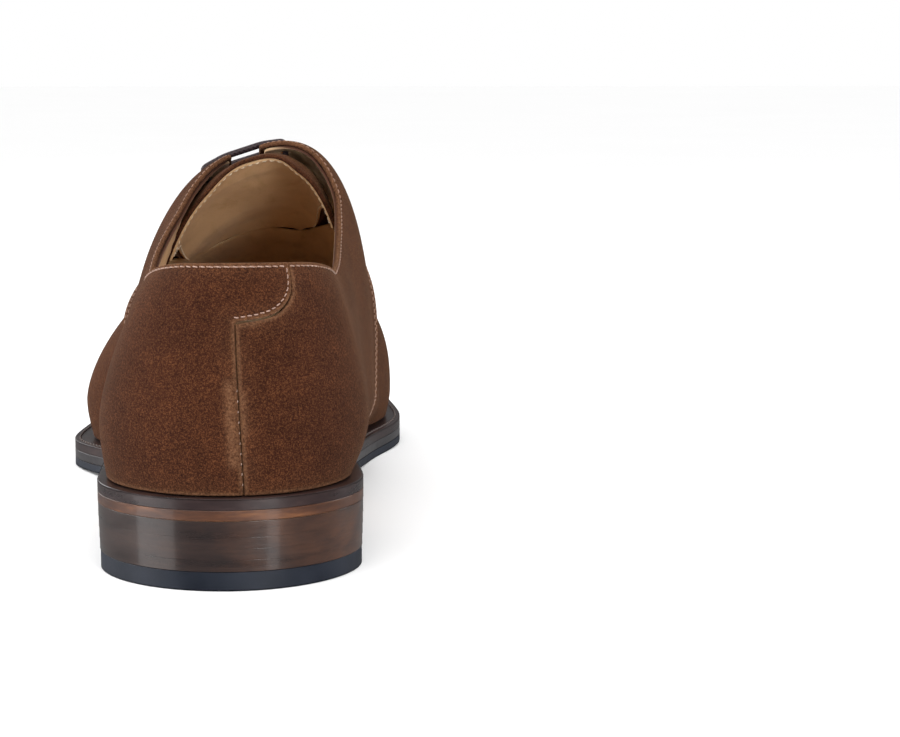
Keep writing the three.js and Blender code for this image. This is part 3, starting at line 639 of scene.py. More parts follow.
def lining_material():
    m = Mat("lining_leather", roughness=0.52, specular=0.35, sheen=0.05)
    grain = m.cells(900)
    creases = m.noise(120, 4, 0.6, stretch=(1.0, 0.35, 1.0), distortion=0.6)
    tone = m.noise(38, 3, 0.55)
    base = m.ramp(tone, (0.3, (0.52, 0.325, 0.17)), (0.55, (0.66, 0.435, 0.235)),
                  (0.75, (0.74, 0.51, 0.3)))
    lines = m.ramp(creases, (0.35, (0.86, 0.84, 0.8)), (0.5, (1, 1, 1)))
    dyed = m.math("MULTIPLY", m.attribute("rub"), 1.5, clamp=True)
    m.colour(m.blend(dyed, m.blend(1.0, base, lines, "MULTIPLY"), (0.062, 0.021, 0.0095)))
    m.roughness(m.math("MAXIMUM", m.spread(tone, 0.3, 0.7, 0.45, 0.6), dyed))
    height = m.math("ADD", m.math("MULTIPLY", grain, 0.35), m.math("MULTIPLY", creases, 0.9))
    return m.bump(height, 0.35, 0.0004).material


def stack_material():
    """Burnished heel leather: streaks round the heel, a few worn orange patches, wax shine."""
    m = Mat("stack_leather", roughness=0.3, specular=0.5, coat=0.8, coat_rough=0.13)
    streaks = m.noise(30, 4, 0.6, stretch=(0.5, 0.5, 6.0))
    patches = m.noise(30, 4, 0.6, stretch=(1.0, 1.0, 1.6), distortion=0.5)
    fibres = m.noise(420, 3, 0.6, stretch=(0.5, 0.5, 3.0))
    base = m.ramp(streaks, (0.3, (0.012, 0.0068, 0.0066)), (0.5, (0.021, 0.0108, 0.009)),
                  (0.7, (0.038, 0.0175, 0.0115)))
    side = m.spread(m.axis("X"), -0.01, 0.034, 0.08, 0.42)
    worn = m.math("MULTIPLY", m.spread(patches, 0.47, 0.68), side, clamp=True)
    tint = m.blend(worn, base, (0.16, 0.056, 0.018))
    lines = m.ramp(fibres, (0.3, (0.8, 0.8, 0.8)), (0.6, (1.08, 1.06, 1.04)))
    m.colour(m.blend(1.0, tint, lines, "MULTIPLY"))
    m.roughness(m.spread(streaks, 0.3, 0.7, 0.24, 0.4))
    return m.bump(m.math("ADD", fibres, streaks), 0.12, 0.0002).material


def outsole_material():
    """An orange edge round the heel that turns dark along the waist and forepart; tan underneath."""
    m = Mat("sole_leather", roughness=0.34, specular=0.5, coat=0.6, coat_rough=0.12)
    streaks = m.noise(60, 4, 0.65, stretch=(0.6, 0.6, 4.0))
    mottle = m.noise(140, 3, 0.6)
    orange = m.ramp(streaks, (0.3, (0.026, 0.0095, 0.0055)), (0.5, (0.075, 0.026, 0.0105)),
                    (0.7, (0.2, 0.075, 0.025)))
    dark = m.ramp(streaks, (0.3, (0.013, 0.011, 0.013)), (0.7, (0.034, 0.028, 0.03)))
    edge = m.blend(m.spread(m.axis("Y"), 0.02, 0.052), orange, dark)
    tan = m.ramp(mottle, (0.3, (0.24, 0.115, 0.052)), (0.7, (0.36, 0.19, 0.092)))
    facing = m.axis("Z", m.node("ShaderNodeNewGeometry", "Normal"))
    under = m.spread(m.math("MULTIPLY", facing, -1.0), 0.55, 0.75)
    m.colour(m.blend(under, edge, tan))
    m.roughness(m.spread(mottle, 0.3, 0.7, 0.28, 0.42))
    return m.bump(m.noise(500, 3, 0.6), 0.1, 0.0002).material


def plain_material(name, pattern, *stops, rough=None, relief=None, bump=None, **look):
    """One pattern gives the colour and, between the two values of rough, the roughness."""
    m = Mat(name, **look)
    tone = pattern(m)
    m.colour(m.ramp(tone, *stops))
    if rough:
        m.roughness(m.spread(tone, 0.3, 0.7, *rough))
    if bump:
        m.bump(relief(m) if relief else tone, *bump)
    return m.material


def lace_material():
    """Braided waxed cotton: crossing strands along and round the cord, from its own map."""
    m = Mat("lace_cotton", roughness=0.55, specular=0.35, sheen=0.05, sheen_tint=(0.5, 0.35, 0.4))
    uv = m.node("ShaderNodeUVMap", "UV", uv_map="cord")
    along, round_ = m.axis("X", uv), m.axis("Y", uv)
    left = m.math("SINE", m.math("ADD", along, round_))
    right = m.math("SINE", m.math("SUBTRACT", along, round_))
    braid = m.math("MAXIMUM", left, right)
    height = m.spread(braid, -1, 1)
    m.colour(m.ramp(height, (0.3, (0.0075, 0.0035, 0.005)), (0.95, (0.026, 0.0115, 0.0145))))
    return m.bump(braid, 0.5, 0.0002).material


def thread_material(name, dark, light):
    return plain_material(name, lambda m: m.noise(2600, 2, 0.6), (0.3, dark), (0.7, light),
                          bump=(0.4, 0.0001), roughness=0.6, specular=0.3, sheen=0.15)


suede = suede_material()
lining = lining_material()
stack = stack_material()
sole_leather = outsole_material()
edge_leather = plain_material(
    "edge_leather", lambda m: m.noise(70, 4, 0.6, stretch=(0.6, 0.6, 3.0)),
    (0.3, (0.0105, 0.0058, 0.0064)), (0.55, (0.0265, 0.0134, 0.013)), (0.75, (0.06, 0.03, 0.023)),
    rough=(0.24, 0.4), relief=lambda m: m.noise(600, 3, 0.6), bump=(0.12, 0.0002),
    roughness=0.3, specular=0.5, coat=0.3, coat_rough=0.2)
rubber = plain_material(
    "sole_rubber", lambda m: m.noise(60, 3, 0.55),
    (0.3, (0.006, 0.0085, 0.015)), (0.7, (0.014, 0.018, 0.029)),
    rough=(0.38, 0.56), relief=lambda m: m.noise(900, 2, 0.6), bump=(0.14, 0.0002), specular=0.3)
board = plain_material(
    "board", lambda m: m.noise(260, 4, 0.65, stretch=(1.0, 0.3, 1.0)),
    (0.3, (0.2, 0.105, 0.05)), (0.7, (0.32, 0.185, 0.095)),
    bump=(0.25, 0.0003), roughness=0.78, specular=0.25)
cork = plain_material(
    "cork", lambda m: m.cells(420),
    (0.1, (0.14, 0.07, 0.03)), (0.5, (0.42, 0.26, 0.13)), (0.9, (0.55, 0.37, 0.2)),
    bump=(0.5, 0.0004), roughness=0.85, specular=0.2)
steel = plain_material(
    "spring_steel", lambda m: m.noise(300, 3, 0.6, stretch=(4.0, 0.08, 1.0)),
    (0.3, (0.4, 0.41, 0.43)), (0.7, (0.6, 0.61, 0.63)), rough=(0.28, 0.45), metallic=1.0)
lace_cotton = lace_material()
aglet_plastic = plain_material(
    "aglet_plastic", lambda m: m.noise(300), (0.3, (0.018, 0.008, 0.008)), (0.7, (0.03, 0.014, 0.013)),
    roughness=0.22)
light_thread = thread_material("thread_light", (0.2, 0.115, 0.085), (0.46, 0.3, 0.235))
dull_thread = thread_material("thread_brown", (0.15, 0.075, 0.045), (0.3, 0.165, 0.105))
pale_thread = thread_material("thread_pale", (0.5, 0.4, 0.28), (0.8, 0.68, 0.52))
dark_thread = thread_material("thread_dark", (0.03, 0.02, 0.018), (0.085, 0.055, 0.045))

# ---- upper

QUARTER = (0.0, -1.4)
UNDER_QUARTER = (-1.9, -3.1)


def fixed(depths):
    return lambda t, v: (np.full(t.shape, depths[0]), np.full(t.shape, depths[1]))


def heel_share(z):
    return float(v_at_height(1e-4, z) / topline_v(0.0))


def quarter_rows():
    """Rows up the quarter, crowded where the tail's edge turns."""
    close = [heel_share(TAIL_Z + 0.1 * k + 0.075 * k * k) for k in range(-2, 11)]
    return np.r_[np.linspace(0, heel_share(68.4), 46), close, np.linspace(heel_share(78.2), 1, 9)]


def span_columns(*counts):
    parts = [np.linspace(k, k + 1, n, endpoint=False) for k, n in enumerate(counts)]
    return np.r_[np.concatenate(parts), float(len(counts))]


QUARTER_ENDS = (128.0, TAB_Y)
QUARTER_COLUMNS = span_columns(130, 22, 54, 24)

# Lines of stitching and the edges they follow.
def topline_stitch(sign, start, stop):
    t = sign * np.linspace(float(start), float(stop), 220)
    return form_point(t, step_v(t, topline_v(t), 1.15))


HEEL_TABLE_T = np.linspace(-0.05, 0.16, 400)
HEEL_TABLE_S = run_of(form_point(HEEL_TABLE_T, v_at_height(HEEL_TABLE_T, 75.0)))


def tail_line(distance):
    """The tail's outline moved inwards, from the back seam round to the topline."""
    z = TAIL_Z + 16.5 * shares(260) ** 2
    s = np.interp(tail_t(z), HEEL_TABLE_T, HEEL_TABLE_S)
    along = unit(np.gradient(np.stack([s, z], -1), axis=0))
    s2, z2 = s - along[:, 1] * distance, z + along[:, 0] * distance
    t = np.interp(s2, HEEL_TABLE_S, HEEL_TABLE_T)
    top = form_point(t, topline_v(t))[:, 2] - 1.0
    keep = z2 < top
    return form_point(t[keep], v_at_height(t[keep], z2[keep]))


def front_line(sign, distance):
    y = np.linspace(88.6, 140.6, 200)
    return shifted(sign * station_t(y), quarter_front_v(y), sign * distance)


def facing_line(sign):
    t = sign * station_t(np.linspace(FACING_TOP_Y, 137, 160))
    return form_point(t, v_at_crest_distance(t, FACING_HALF_GAP + 1.6))


def seam_line(z0, z1, shift_t=0.0):
    z = np.linspace(z0, z1, 60)
    t = back_seam_t(z) + shift_t
    return form_point(t, v_at_height(t, z))


def quarter_lines(sign, back_t):
    top = topline_stitch(sign, back_t, station_t(FACING_TOP_Y))
    return [top, facing_line(sign), front_line(sign, 1.3), front_line(sign, 3.0)]


seam = seam_line(24.5, TAIL_Z)
TOPLINE_BACK_T = {-1: -0.09, 1: 0.1015}
lateral_lines, medial_lines = (quarter_lines(sign, TOPLINE_BACK_T[sign]) for sign in (-1, 1))
tail_stitch = tail_line(1.0)
front_edges = [front_line(sign, 0.0) for sign in (-1, 1)]


def seam_relief(t, v, base):
    """The two quarters roll in towards the back seam and puff up a little beside it."""
    at_seam = np.stack([np.interp(base[..., 2], seam[:, 2], seam[:, k]) for k in (0, 1)], -1)
    gap = np.linalg.norm(base[..., :2] - at_seam, axis=-1)
    low = smooth(-base[..., 2], -69.5, -67.5)
    rolled = low * (-0.45 * np.exp(-(gap / 0.75) ** 2) + 0.22 * np.exp(-((gap - 2.6) / 1.5) ** 2))
    ahead = distance_to(base.reshape(-1, 3), front_edges).reshape(t.shape)
    return rolled + 0.8 * smooth(v, 0.3, 0.5) * smooth(-v, -0.92, -0.8) * np.exp(-(ahead / 2.6) ** 2)


rubs = [(seam_line(33, 53, -0.0095), 1.5, 0.62), (seam_line(40, 51, 0.0055), 1.1, 0.45)]
quarter_lateral, quarter_medial = (
    sheet(f"upper_quarter_{side}", suede, quarter_patch(sign, end_t, quarter_front_v, QUARTER_ENDS),
          QUARTER_COLUMNS, quarter_rows(), fixed(QUARTER), SHOE, f"quarter_{side}", "suede",
          stitched=lines, relief=seam_relief, rubs=rubs)
    for side, sign, end_t, lines in (("lateral", -1, lateral_end_t, [*lateral_lines, tail_stitch]),
                                     ("medial", 1, medial_end_t, medial_lines)))


def across_forepart(rear_y):
    def at(p, q):
        w = 2 * p - 1
        v = 1 - np.abs(w)
        return side_of(w) * mix(station_t(rear_y(v)), 1, q), v

    return at


def crowded(count):
    f = shares(count)
    return mix(f, f * f, 0.35)


sheet("upper_vamp", suede, across_forepart(vamp_rear_y), shares(241), crowded(96),
      fixed(UNDER_QUARTER), SHOE, "vamp", "suede", joined_top=True, waves=(0.16, 34, 5))


def lining_depth(t, v):
    t = wrapped(t)
    lift = np.maximum(smooth(station_y(t), 56, 70), smooth(v / topline_v(t), 0.84, 0.97))
    return mix(-3.65, -1.55, lift), mix(-4.4, -2.4, lift)


def folded_over(points):
    """The suede is turned in over the lining along the topline, and trimmed to it at the facings."""
    return mix(2.8, 0.9, smooth(points[:, 1], 79, 87))


for sign, side in ((-1, "lateral"), (1, "medial")):
    patch = quarter_patch(sign, lambda z, s=sign: np.full(np.shape(z), s * SEAM_GAP_T),
                          lining_front_v, (LINING_END_Y,), 1.3)
    sheet(f"lining_quarter_{side}", lining, patch, span_columns(70, 12, 24), shares(44),
          lining_depth, SHOE, f"quarter_lining_{side}", "lining_leather", rim=0.25,
          waves=(0.1, 20, 7 + sign), edge_rub=0.75, edge_band=folded_over)


def vamp_lining_depth(t, v):
    shift = 1.2 * smooth(station_y(wrapped(t)), 202, 213)
    return -3.65 - shift, -4.4 - shift


sheet("lining_vamp", lining, across_forepart(vamp_lining_rear_y), shares(121), crowded(50),
      vamp_lining_depth, SHOE, "vamp_lining", "lining_leather", rim=0.25, joined_top=True)

# ---- tongue

TONGUE_HALF_WIDTH, TONGUE_LINING_BORDER = 46, 2.6
tongue_depth = curve((62, -6), (98, -6.1), (118, -6), (124, -5.2), (131, -4), (136, -3.6), (142, -3.5))
tongue_side_v = curve((60, 0.46), (90, 0.58), (122, 0.72), (142, 0.84))


def tongue_at(border=0.0):
    """The tongue's patch, or one inside it by a border that narrows towards its sewn base."""
    def at(p, q):
        w = (2 * p - 1) * (1 - border / TONGUE_HALF_WIDTH * mix(1, 0.3, smooth(q, 0.45, 0.8)))
        rear = 66 + 9 * w * w + border
        fore = TAB_Y - 5 * w * w - border * 0.5
        y = mix(rear, fore, q)
        v = mix(1, tongue_side_v(y), np.abs(w))
        return side_of(w) * station_t(y), v

    return at


def tongue_layer(outside, thick):
    def depth(t, v):
        y = station_y(t)
        medial_drop = np.where(wrapped(t) > 0, 1.7 * (1 - smooth(v, 0.8, 1)), 0)
        flare = (2.4 - medial_drop) * smooth(-y, -90, -75)
        flare = flare + 1.7 * smooth(-y, -86, -66) * smooth(v, 0.77, 0.97)
        top = tongue_depth(y) + flare - outside
        return top, top - thick

    return depth


tongue_lining_depth = tongue_layer(1.22, 0.9)
grid = shares(81), shares(61)
sheet("tongue_suede", suede, tongue_at(), *grid, tongue_layer(0, 1.2), FLAP, "tongue", "suede",
      rim=0.4, waves=(0.1, 22, 11))
tongue_back = sheet("tongue_lining_leather", lining, tongue_at(TONGUE_LINING_BORDER), *grid,
                    tongue_lining_depth, FLAP, "tongue_lining", "lining_leather", rim=0.3,
                    waves=(0.16, 15, 12), edge_rub=0)

# ---- lace

LACE_RADIUS, AGLET_RADIUS, AGLET_GAP = 0.98, 1.12, 1.4
EYELET_FROM_CREST, EYELET_RADIUS, CUTTER_LENGTH = 12.5, 1.6, 9
EYELET_ROWS_Y = (118, 109.5, 101, 92.5)
LACE_OUTSIDE, LACE_INSIDE = 1.2, -4.35
LACE_ENDS = {"lower": ((116.5, 16.5), (115, 18), (103, 18.5)),
             "upper": ((94, 17.5), (98, 23), (110, 25))}


def beside_crest(t, distance, depth):
    return layer_point(t, v_at_crest_distance(t, distance), depth)


def eyelet_point(sign, y, depth):
    return beside_crest(sign * station_t(y), EYELET_FROM_CREST, depth)


def lace_bar(sign, y):
    t = station_t(y)
    over = [beside_crest(side * sign * -t, FACING_HALF_GAP + 1.5, LACE_OUTSIDE) for side in (-1, 1)]
    return [eyelet_point(sign, y, LACE_OUTSIDE), *over, eyelet_point(-sign, y, LACE_OUTSIDE)]


def lace_end(name):
    return [beside_crest(-station_t(y), d, LACE_INSIDE) for y, d in LACE_ENDS[name]]


def lace_path():
    points = lace_end("lower")[:2][::-1]
    sign = -1
    for y in EYELET_ROWS_Y:
        points += [eyelet_point(sign, y, LACE_INSIDE), *lace_bar(sign, y),
                   eyelet_point(-sign, y, LACE_INSIDE)]
        sign = -sign
    return points + lace_end("upper")[:2]


def rounded(points, radius):
    """The path with its corners turned into short bends."""
    line = [points[0]]
    for a, b, c in zip(points[:-2], points[1:-1], points[2:]):
        back, on = a - b, c - b
        cut = min(radius, np.linalg.norm(back) * 0.45, np.linalg.norm(on) * 0.45)
        start, end = b + unit(back) * cut, b + unit(on) * cut
        line += [(1 - f) ** 2 * start + 2 * f * (1 - f) * b + f * f * end for f in shares(7)]
    return np.array([*line, points[-1]])


def tube(name, line, radii, sides, material, body, node, cord_map=None):
    """A round body along a line, closed at both ends; cord_map writes a map along and round it."""
    along = unit(np.gradient(line, axis=0))
    up = np.array([0.0, 1.0, 0.0])
    rings = []
    for centre, direction, radius in zip(line, along, radii):
        up = unit(up - direction * (up @ direction))
        across = np.cross(direction, up)
        angles = 2 * np.pi * np.arange(sides) / sides
        rings.append(centre + radius * (np.cos(angles)[:, None] * up
                                        + np.sin(angles)[:, None] * across))
    points = np.concatenate(rings)
    count = len(line)
    faces = walls(0, count, sides)
    faces += [tuple(range(sides)), tuple((count - 1) * sides + k for k in range(sides))]
    obj = new_object(name, points, faces, material, body, node)
    if cord_map:
        lengths = run_of(line)
        layer = obj.data.uv_layers.new(name="cord")
        for polygon in obj.data.polygons:
            ks = [obj.data.loops[i].vertex_index % sides for i in polygon.loop_indices]
            wraps = max(ks) - min(ks) > sides / 2 and len(ks) == 4
            for i, k in zip(polygon.loop_indices, ks):
                ring = obj.data.loops[i].vertex_index // sides
                angle = 2 * math.pi * (k + sides if wraps and k < sides / 2 else k) / sides
                layer.data[i].uv = (lengths[ring] * cord_map[0], angle * cord_map[1])
    return obj


lace_line = resample(rounded(lace_path(), 2.0), 0.4)
tube("lace_cord", lace_line, np.full(len(lace_line), LACE_RADIUS), 14, lace_cotton, SHOE, "lace",
     (4.2, 4))
for end in ("lower", "upper"):
    _, near, toward = lace_end(end)
    axis = unit(toward - near)
    at = np.array([0, 0.15, 0.5, 1.0, 3.0, 3.3, 3.8, 8.0, 10.5, 11.5, 11.9, 12.0])
    wide = AGLET_RADIUS * np.array([0.75, 0.93, 1, 1, 1, 0.93, 0.93, 0.9, 0.82, 0.68, 0.5, 0.35])
    tube(f"aglet_{end}_tip", near + (AGLET_GAP + at)[:, None] * axis, wide, 16, aglet_plastic, SHOE,
         f"aglet_{end}")

def punch(obj, sign):
    """The eyelets: plain holes through a quarter or its lining."""
    cutters = []
    for y in EYELET_ROWS_Y:
        t = sign * station_t(y)
        v = v_at_crest_distance(t, EYELET_FROM_CREST)
        centre, normal = Vector(form_point(t, v)), Vector(form_normal(t, v))
        bm = bmesh.new()
        radius = EYELET_RADIUS * MM
        bmesh.ops.create_cone(bm, cap_ends=True, segments=24, radius1=radius, radius2=radius,
                              depth=CUTTER_LENGTH * MM)
        cutter = add_object("cutter", mesh_of("cutter", bm))
        turn(cutter, normal, "Z")
        cutter.location = centre * MM
        cutters.append(cutter)
    for cutter in cutters:
        modifier = obj.modifiers.new("hole", "BOOLEAN")
        modifier.operation, modifier.solver, modifier.object = "DIFFERENCE", "MANIFOLD", cutter
    bpy.context.view_layer.update()
    mesh = bpy.data.meshes.new_from_object(obj.evaluated_get(bpy.context.evaluated_depsgraph_get()))
    obj.modifiers.clear()
    obj.data = mesh
    for cutter in cutters:
        bpy.data.objects.remove(cutter)


for sign, quarter, name in ((-1, quarter_lateral, "lateral"), (1, quarter_medial, "medial")):
    punch(quarter, sign)
    punch(bpy.data.objects[f"lining_quarter_{name}"], sign)

# ---- stitching on the upper

on_lateral, on_medial = surface_of(quarter_lateral), surface_of(quarter_medial)
thread("stitching_quarters", [(lateral_lines, on_lateral), (medial_lines, on_medial)], dull_thread,
       SHOE, pitch=2.0, radius=0.19)
thread("stitching_tail", [([tail_stitch], on_lateral)], light_thread, SHOE, pitch=1.75, radius=0.17)
thread("stitching_topline", [([topline_stitch(sign, TOPLINE_BACK_T[sign], stop)], surface)
                             for sign, stop, surface in ((-1, 0.2, on_lateral), (1, 0.16, on_medial))],
       light_thread, SHOE, pitch=2.15, radius=0.18, lift=0.08)
thread("stitching_back_seam", [([seam_line(27, 54)], on_lateral)], light_thread, SHOE,
       pitch=2.6, share=0.2, radius=0.13, lift=0.2)

tongue_rim = tongue_at(TONGUE_LINING_BORDER + 1)
side_q = np.linspace(0, 0.8, 160)
rim_lines = [layer_point(t, v, tongue_lining_depth(t, v)[1])
             for t, v in (tongue_rim(shares(200), np.zeros(200)),
                          tongue_rim(np.zeros(160), side_q), tongue_rim(np.ones(160), side_q))]
thread("stitching_tongue", [(rim_lines, surface_of(tongue_back))], pale_thread, FLAP,
       pitch=2.2, radius=0.22)

# ---- sole and heel

SEAM = 0.25
WELT_THICK, OUTSOLE_THICK, HALF_SOLE_THICK, TOP_LIFT_THICK = 2.8, 2.8, 2.4, 4.9
LIFT_COUNT, HEEL_BREAST_Y, HALF_SOLE_REAR_Y = 4, 37.0, 84.0
SOLE_BACK, SOLE_TOE = FEATHER_BACK - 2.2, FEATHER_TOE + 4.2
HEEL_TAPER, HEEL_SEAT_Z = 0.5, 16.8
WELT_TOP = SEAM
OUTSOLE_TOP = WELT_TOP + WELT_THICK + SEAM
OUTSOLE_BOTTOM = OUTSOLE_TOP + OUTSOLE_THICK
HALF_SOLE_TOP = OUTSOLE_BOTTOM + SEAM


def below(depth):
    return lambda y: feather_z(np.clip(y, FEATHER_BACK, FEATHER_TOE)) - depth


def sole_outline(t, grow, back=SOLE_BACK, toe=SOLE_TOE):
    t = wrapped(t)
    y = station_y(t, back, toe)
    half = by_side(t, "half", y) + grow(t, y)
    return np.stack([plan_x(y) + side_of(t) * half * round_off(y, back, toe), y], -1)


def overhang(t, y):
    return by_side(t, "overhang", y)


def sole_layer(name, material, node, slot, top, bottom, start=-1.0, stop=1.0, count=420, grow=overhang,
               back=SOLE_BACK, toe=SOLE_TOE, round_top=0.3, round_bottom=0.3, cut_y=None, hollow=None,
               edge_relief=None):
    """A layer between two heights, rounded over at both rims. hollow leaves a ring of that width."""
    closed = cut_y is None
    ts = np.linspace(start, stop, count, endpoint=not closed)
    outline = sole_outline(ts, grow, back, toe)
    out = right_of(unit(sole_outline(ts + 5e-4, grow, back, toe)
                        - sole_outline(ts - 5e-4, grow, back, toe)))
    arc = [math.pi / 2 * k / 3 for k in range(4)]
    profile = [(round_top * (1 - math.sin(a)), "top", round_top * (1 - math.cos(a))) for a in arc]
    profile += [(0, "mid", f) for f in (0.03, 0.2, 0.5, 0.8, 0.97)]
    profile += [(round_bottom * (1 - math.cos(a)), "bottom", round_bottom * (1 - math.sin(a)))
                for a in arc]
    if hollow:
        floors = [[(f * hollow, place, 0) for f in (1, 0.5)] for place in ("top", "bottom")]
        profile = [*floors[0], *profile, *floors[1][::-1]]
    loops = []
    for inset, place, amount in profile:
        xy = outline - out * inset
        if not closed:
            xy[[0, -1], 1] = cut_y
        y = xy[:, 1]
        z_top, z_bottom = top(y) + 0 * y, bottom(y) + 0 * y
        z = {"top": z_top - amount, "mid": mix(z_top, z_bottom, amount),
             "bottom": z_bottom + amount}[place]
        if edge_relief and place == "top":
            z = z - edge_relief(xy, inset)
        loops.append(np.column_stack([xy, z]))
    points = np.concatenate(loops)
    span = count if closed else count - 1
    faces = walls(0, len(loops), count, span)
    last = (len(loops) - 1) * count
    if hollow:
        faces += [(last + i, last + (i + 1) % count, (i + 1) % count, i) for i in range(span)]
    else:
        pair = (lambda i: (count - i) % count) if closed else (lambda i: count - 1 - i)
        for i in range(count // 2):
            a, b = i, i + 1
            for base, turn in ((0, 1), (last, -1)):
                f = tuple(dict.fromkeys((base + a, base + b, base + pair(b), base + pair(a))))
                if len(f) >= 3:
                    faces.append(f[::turn])
        if not closed:
            left = [r * count for r in range(len(loops))]
            right = [r * count + count - 1 for r in range(len(loops) - 1, -1, -1)]
            faces.append(tuple(left + right))
    return new_object(name, points, faces, material, SHOE, node, smooth_angle=42)


NOTCH_PITCH, WELT_STITCH_INSET, WELT_STITCH_START_Y = 1.3, 1.75, 44.0


def wheel_marks(xy, inset):
    """Marks pressed into the welt's upper rim along the forepart, two to each stitch."""
    if inset >= 1:
        return 0
    mark = np.maximum(np.cos(2 * np.pi * run_of(xy) / NOTCH_PITCH), 0) ** 2
    return 0.13 * smooth(xy[:, 1], 38, 46) * mark * (1 - inset)


welt = sole_layer("welt_strip", edge_leather, "welt", "edge_leather", below(WELT_TOP),
                  below(WELT_TOP + WELT_THICK + 0.2), count=2200, round_top=0.45, round_bottom=0.12,
                  hollow=8.0, edge_relief=wheel_marks)
sole_layer("outsole_leather", sole_leather, "outsole", "sole_leather", below(OUTSOLE_TOP),
           below(OUTSOLE_BOTTOM), count=560, round_top=0.1, round_bottom=0.22)
rear_t = station_t(HALF_SOLE_REAR_Y, SOLE_BACK, SOLE_TOE)
sole_layer("half_sole_rubber", rubber, "half_sole", "sole_rubber", below(HALF_SOLE_TOP - 0.15),
           lambda y: below(HALF_SOLE_TOP)(y) - mix(0.7, HALF_SOLE_THICK, smooth(y, HALF_SOLE_REAR_Y, 104)),
           start=rear_t, stop=2 - rear_t, cut_y=HALF_SOLE_REAR_Y, round_top=0.12, round_bottom=0.5)


def level(z):
    return lambda y: np.full(np.shape(y), z)


def heel_slice(name, material, node, slot, z_bottom, z_top, **rims):
    taper = HEEL_TAPER * (1 - z_bottom / HEEL_SEAT_Z)
    back = SOLE_BACK + taper
    breast_t = station_t(HEEL_BREAST_Y, back, SOLE_TOE)
    top = below(OUTSOLE_BOTTOM + 0.04) if z_top >= HEEL_SEAT_Z else level(z_top)
    sole_layer(name, material, node, slot, top, level(z_bottom), start=-breast_t, stop=breast_t,
               count=260, cut_y=HEEL_BREAST_Y, back=back, grow=lambda t, y: overhang(t, y) - taper,
               **rims)


heel_slice("heel_rubber_top_lift", rubber, "heel_top_lift", "sole_rubber", 0.0, TOP_LIFT_THICK + 0.1,
           round_top=0.12, round_bottom=0.45)
lift_pitch = (HEEL_SEAT_Z - TOP_LIFT_THICK) / LIFT_COUNT
for i in range(LIFT_COUNT):
    low = TOP_LIFT_THICK + SEAM + lift_pitch * i
    high = HEEL_SEAT_Z if i == LIFT_COUNT - 1 else low + lift_pitch - 0.01
    heel_slice(f"heel_stack_{i + 1}", stack, f"heel_lift_{i + 1}", "stack_leather", low, high,
               round_top=0.025, round_bottom=0.025)

welt_t = station_t(WELT_STITCH_START_Y, SOLE_BACK, SOLE_TOE)
welt_xy = sole_outline(np.linspace(welt_t, 2 - welt_t, 1200), overhang)
welt_xy = welt_xy - right_of(unit(np.gradient(welt_xy, axis=0))) * WELT_STITCH_INSET
welt_line = np.column_stack([welt_xy, below(WELT_TOP)(welt_xy[:, 1]) + 0.3])
thread("stitching_welt", [([welt_line], surface_of(welt))], dark_thread, SHOE,
       pitch=NOTCH_PITCH * 2, share=0.8, radius=0.3)

SOCK_INSET, SOCK_UNDER, SOCK_THICK, SOCK_FRONT_Y = 6.5, 2.65 + SEAM, 1.0, 62.0
sock_back, sock_top = FEATHER_BACK + SOCK_INSET, below(-SOCK_UNDER - SOCK_THICK)
sock_t = station_t(SOCK_FRONT_Y, sock_back)
sock = sole_layer("heel_sock_leather", lining, "heel_sock", "lining_leather", sock_top,
                  below(-SOCK_UNDER), start=-sock_t, stop=sock_t, count=240, cut_y=SOCK_FRONT_Y,
                  back=sock_back, toe=FEATHER_TOE, grow=lambda t, y: -SOCK_INSET + 0 * y,
                  round_top=0.35, round_bottom=0.1)
sewn_t = station_t(56, sock_back)
sock_xy = sole_outline(np.linspace(-sewn_t, sewn_t, 300), lambda t, y: -SOCK_INSET - 2.5 + 0 * y,
                       sock_back + 2.5, FEATHER_TOE)
sock_line = np.column_stack([sock_xy, sock_top(sock_xy[:, 1]) + 0.3])
thread("stitching_sock", [([sock_line], surface_of(sock))], dull_thread, SHOE, pitch=2.6, radius=0.2)

for node, material in (("heel_counter", board), ("toe_puff", board), ("insole", board),
                       ("cork_filler", cork), ("shank", steel)):
    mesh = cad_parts[node].data
    mesh.materials.clear()
    mesh.materials.append(material)

# ---- floor, light, camera


def stage_plane(name, size, z, colour):
    bm = bmesh.new()
    bmesh.ops.create_grid(bm, x_segments=8, y_segments=8, size=size)
    obj = add_object(name, mesh_of(name, bm))
    obj.data.materials.append(plain_material(
        name, lambda m: m.noise(3.0), (0.3, colour), (0.7, tuple(c * 1.01 for c in colour)),
        roughness=0.9, specular=0.1))
    obj.location.z = z
    obj.visible_glossy = False


stage_plane("floor", 9.0, float(cad_box[0].z), (0.93, 0.93, 0.93))


def soft_light(name, place, aim, size, power):
    light = bpy.data.lights.new(name, "AREA")
    light.shape, (light.size, light.size_y) = "RECTANGLE", size
    light.energy = power
    obj = add_object(name, light)
    obj.location = place
    turn(obj, Vector(aim) - Vector(place))


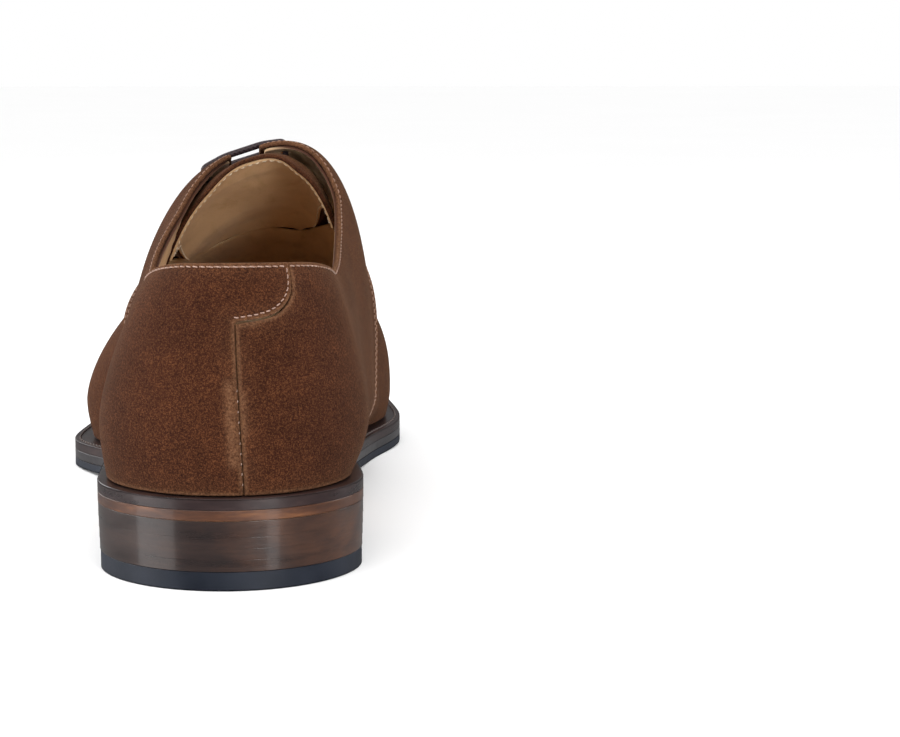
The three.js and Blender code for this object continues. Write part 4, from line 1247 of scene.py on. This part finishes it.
# Two cards reach below the floor, which is hidden from glossy rays: the heel mirrors them whole.
for light in (
        ("left_box", (-0.95, 0.05, 0.33), (0, 0.12, 0.05), (1.6, 0.66), 8.5),
        ("low_card", (-0.95, 0.1, 0.07), (-0.05, 0.1, 0.02), (0.9, 0.13), 3.0),
        ("heel_card", (-0.85, -0.36, 0.0), (0, 0, 0.02), (0.6, 0.6), 1.35),
        ("heel_strip", (0.56, -0.8, 0.0), (0, 0, 0.02), (0.18, 0.6), 0.38),
        ("key_box", (0.42, -0.9, 0.24), (0, 0, 0.06), (0.3, 0.46), 5.8),
        ("left_rim", (-0.75, 0.95, 0.35), (-0.05, 0.12, 0.02), (0.7, 0.6), 3.0),
        ("right_rim", (0.85, 0.35, 0.4), (0, 0.05, 0.05), (0.4, 1.0), 4.5)):
    soft_light(*light)
overhead = bpy.data.lights.new("overhead", "SUN")
overhead.energy, overhead.angle = 3.0, math.radians(80)
add_object("overhead", overhead).rotation_euler = (math.radians(22), 0, math.radians(-12))

# The studio is white to the eye, and dimmer as a light, so that shadows and gloss keep their shape.
world = bpy.data.worlds.new("studio")
world.use_nodes = True
wires = world.node_tree
seen = wires.nodes.new("ShaderNodeLightPath").outputs["Is Camera Ray"]
shown = wires.nodes.new("ShaderNodeMapRange")
shown.inputs["To Min"].default_value, shown.inputs["To Max"].default_value = 0.2, 1.0
wires.links.new(seen, shown.inputs["Value"])
wires.links.new(shown.outputs["Result"], wires.nodes["Background"].inputs["Strength"])
wires.nodes["Background"].inputs["Color"].default_value = (1, 1, 1, 1)
bpy.context.scene.world = world
bpy.context.scene.view_settings.view_transform = "Standard"

camera = bpy.data.cameras.new("camera")
camera.sensor_width, camera.lens = 36.0, 89.12
camera.clip_start, camera.clip_end = 0.01, 50
camera_object = add_object("camera", camera)
camera_object.location = (0.017, -0.596, 0.136)
heading, pitch = math.radians(4.0), math.radians(8.03)
turn(camera_object, Vector((math.sin(heading) * math.cos(pitch),
                            math.cos(heading) * math.cos(pitch), -math.sin(pitch))))
bpy.context.scene.camera = camera_object
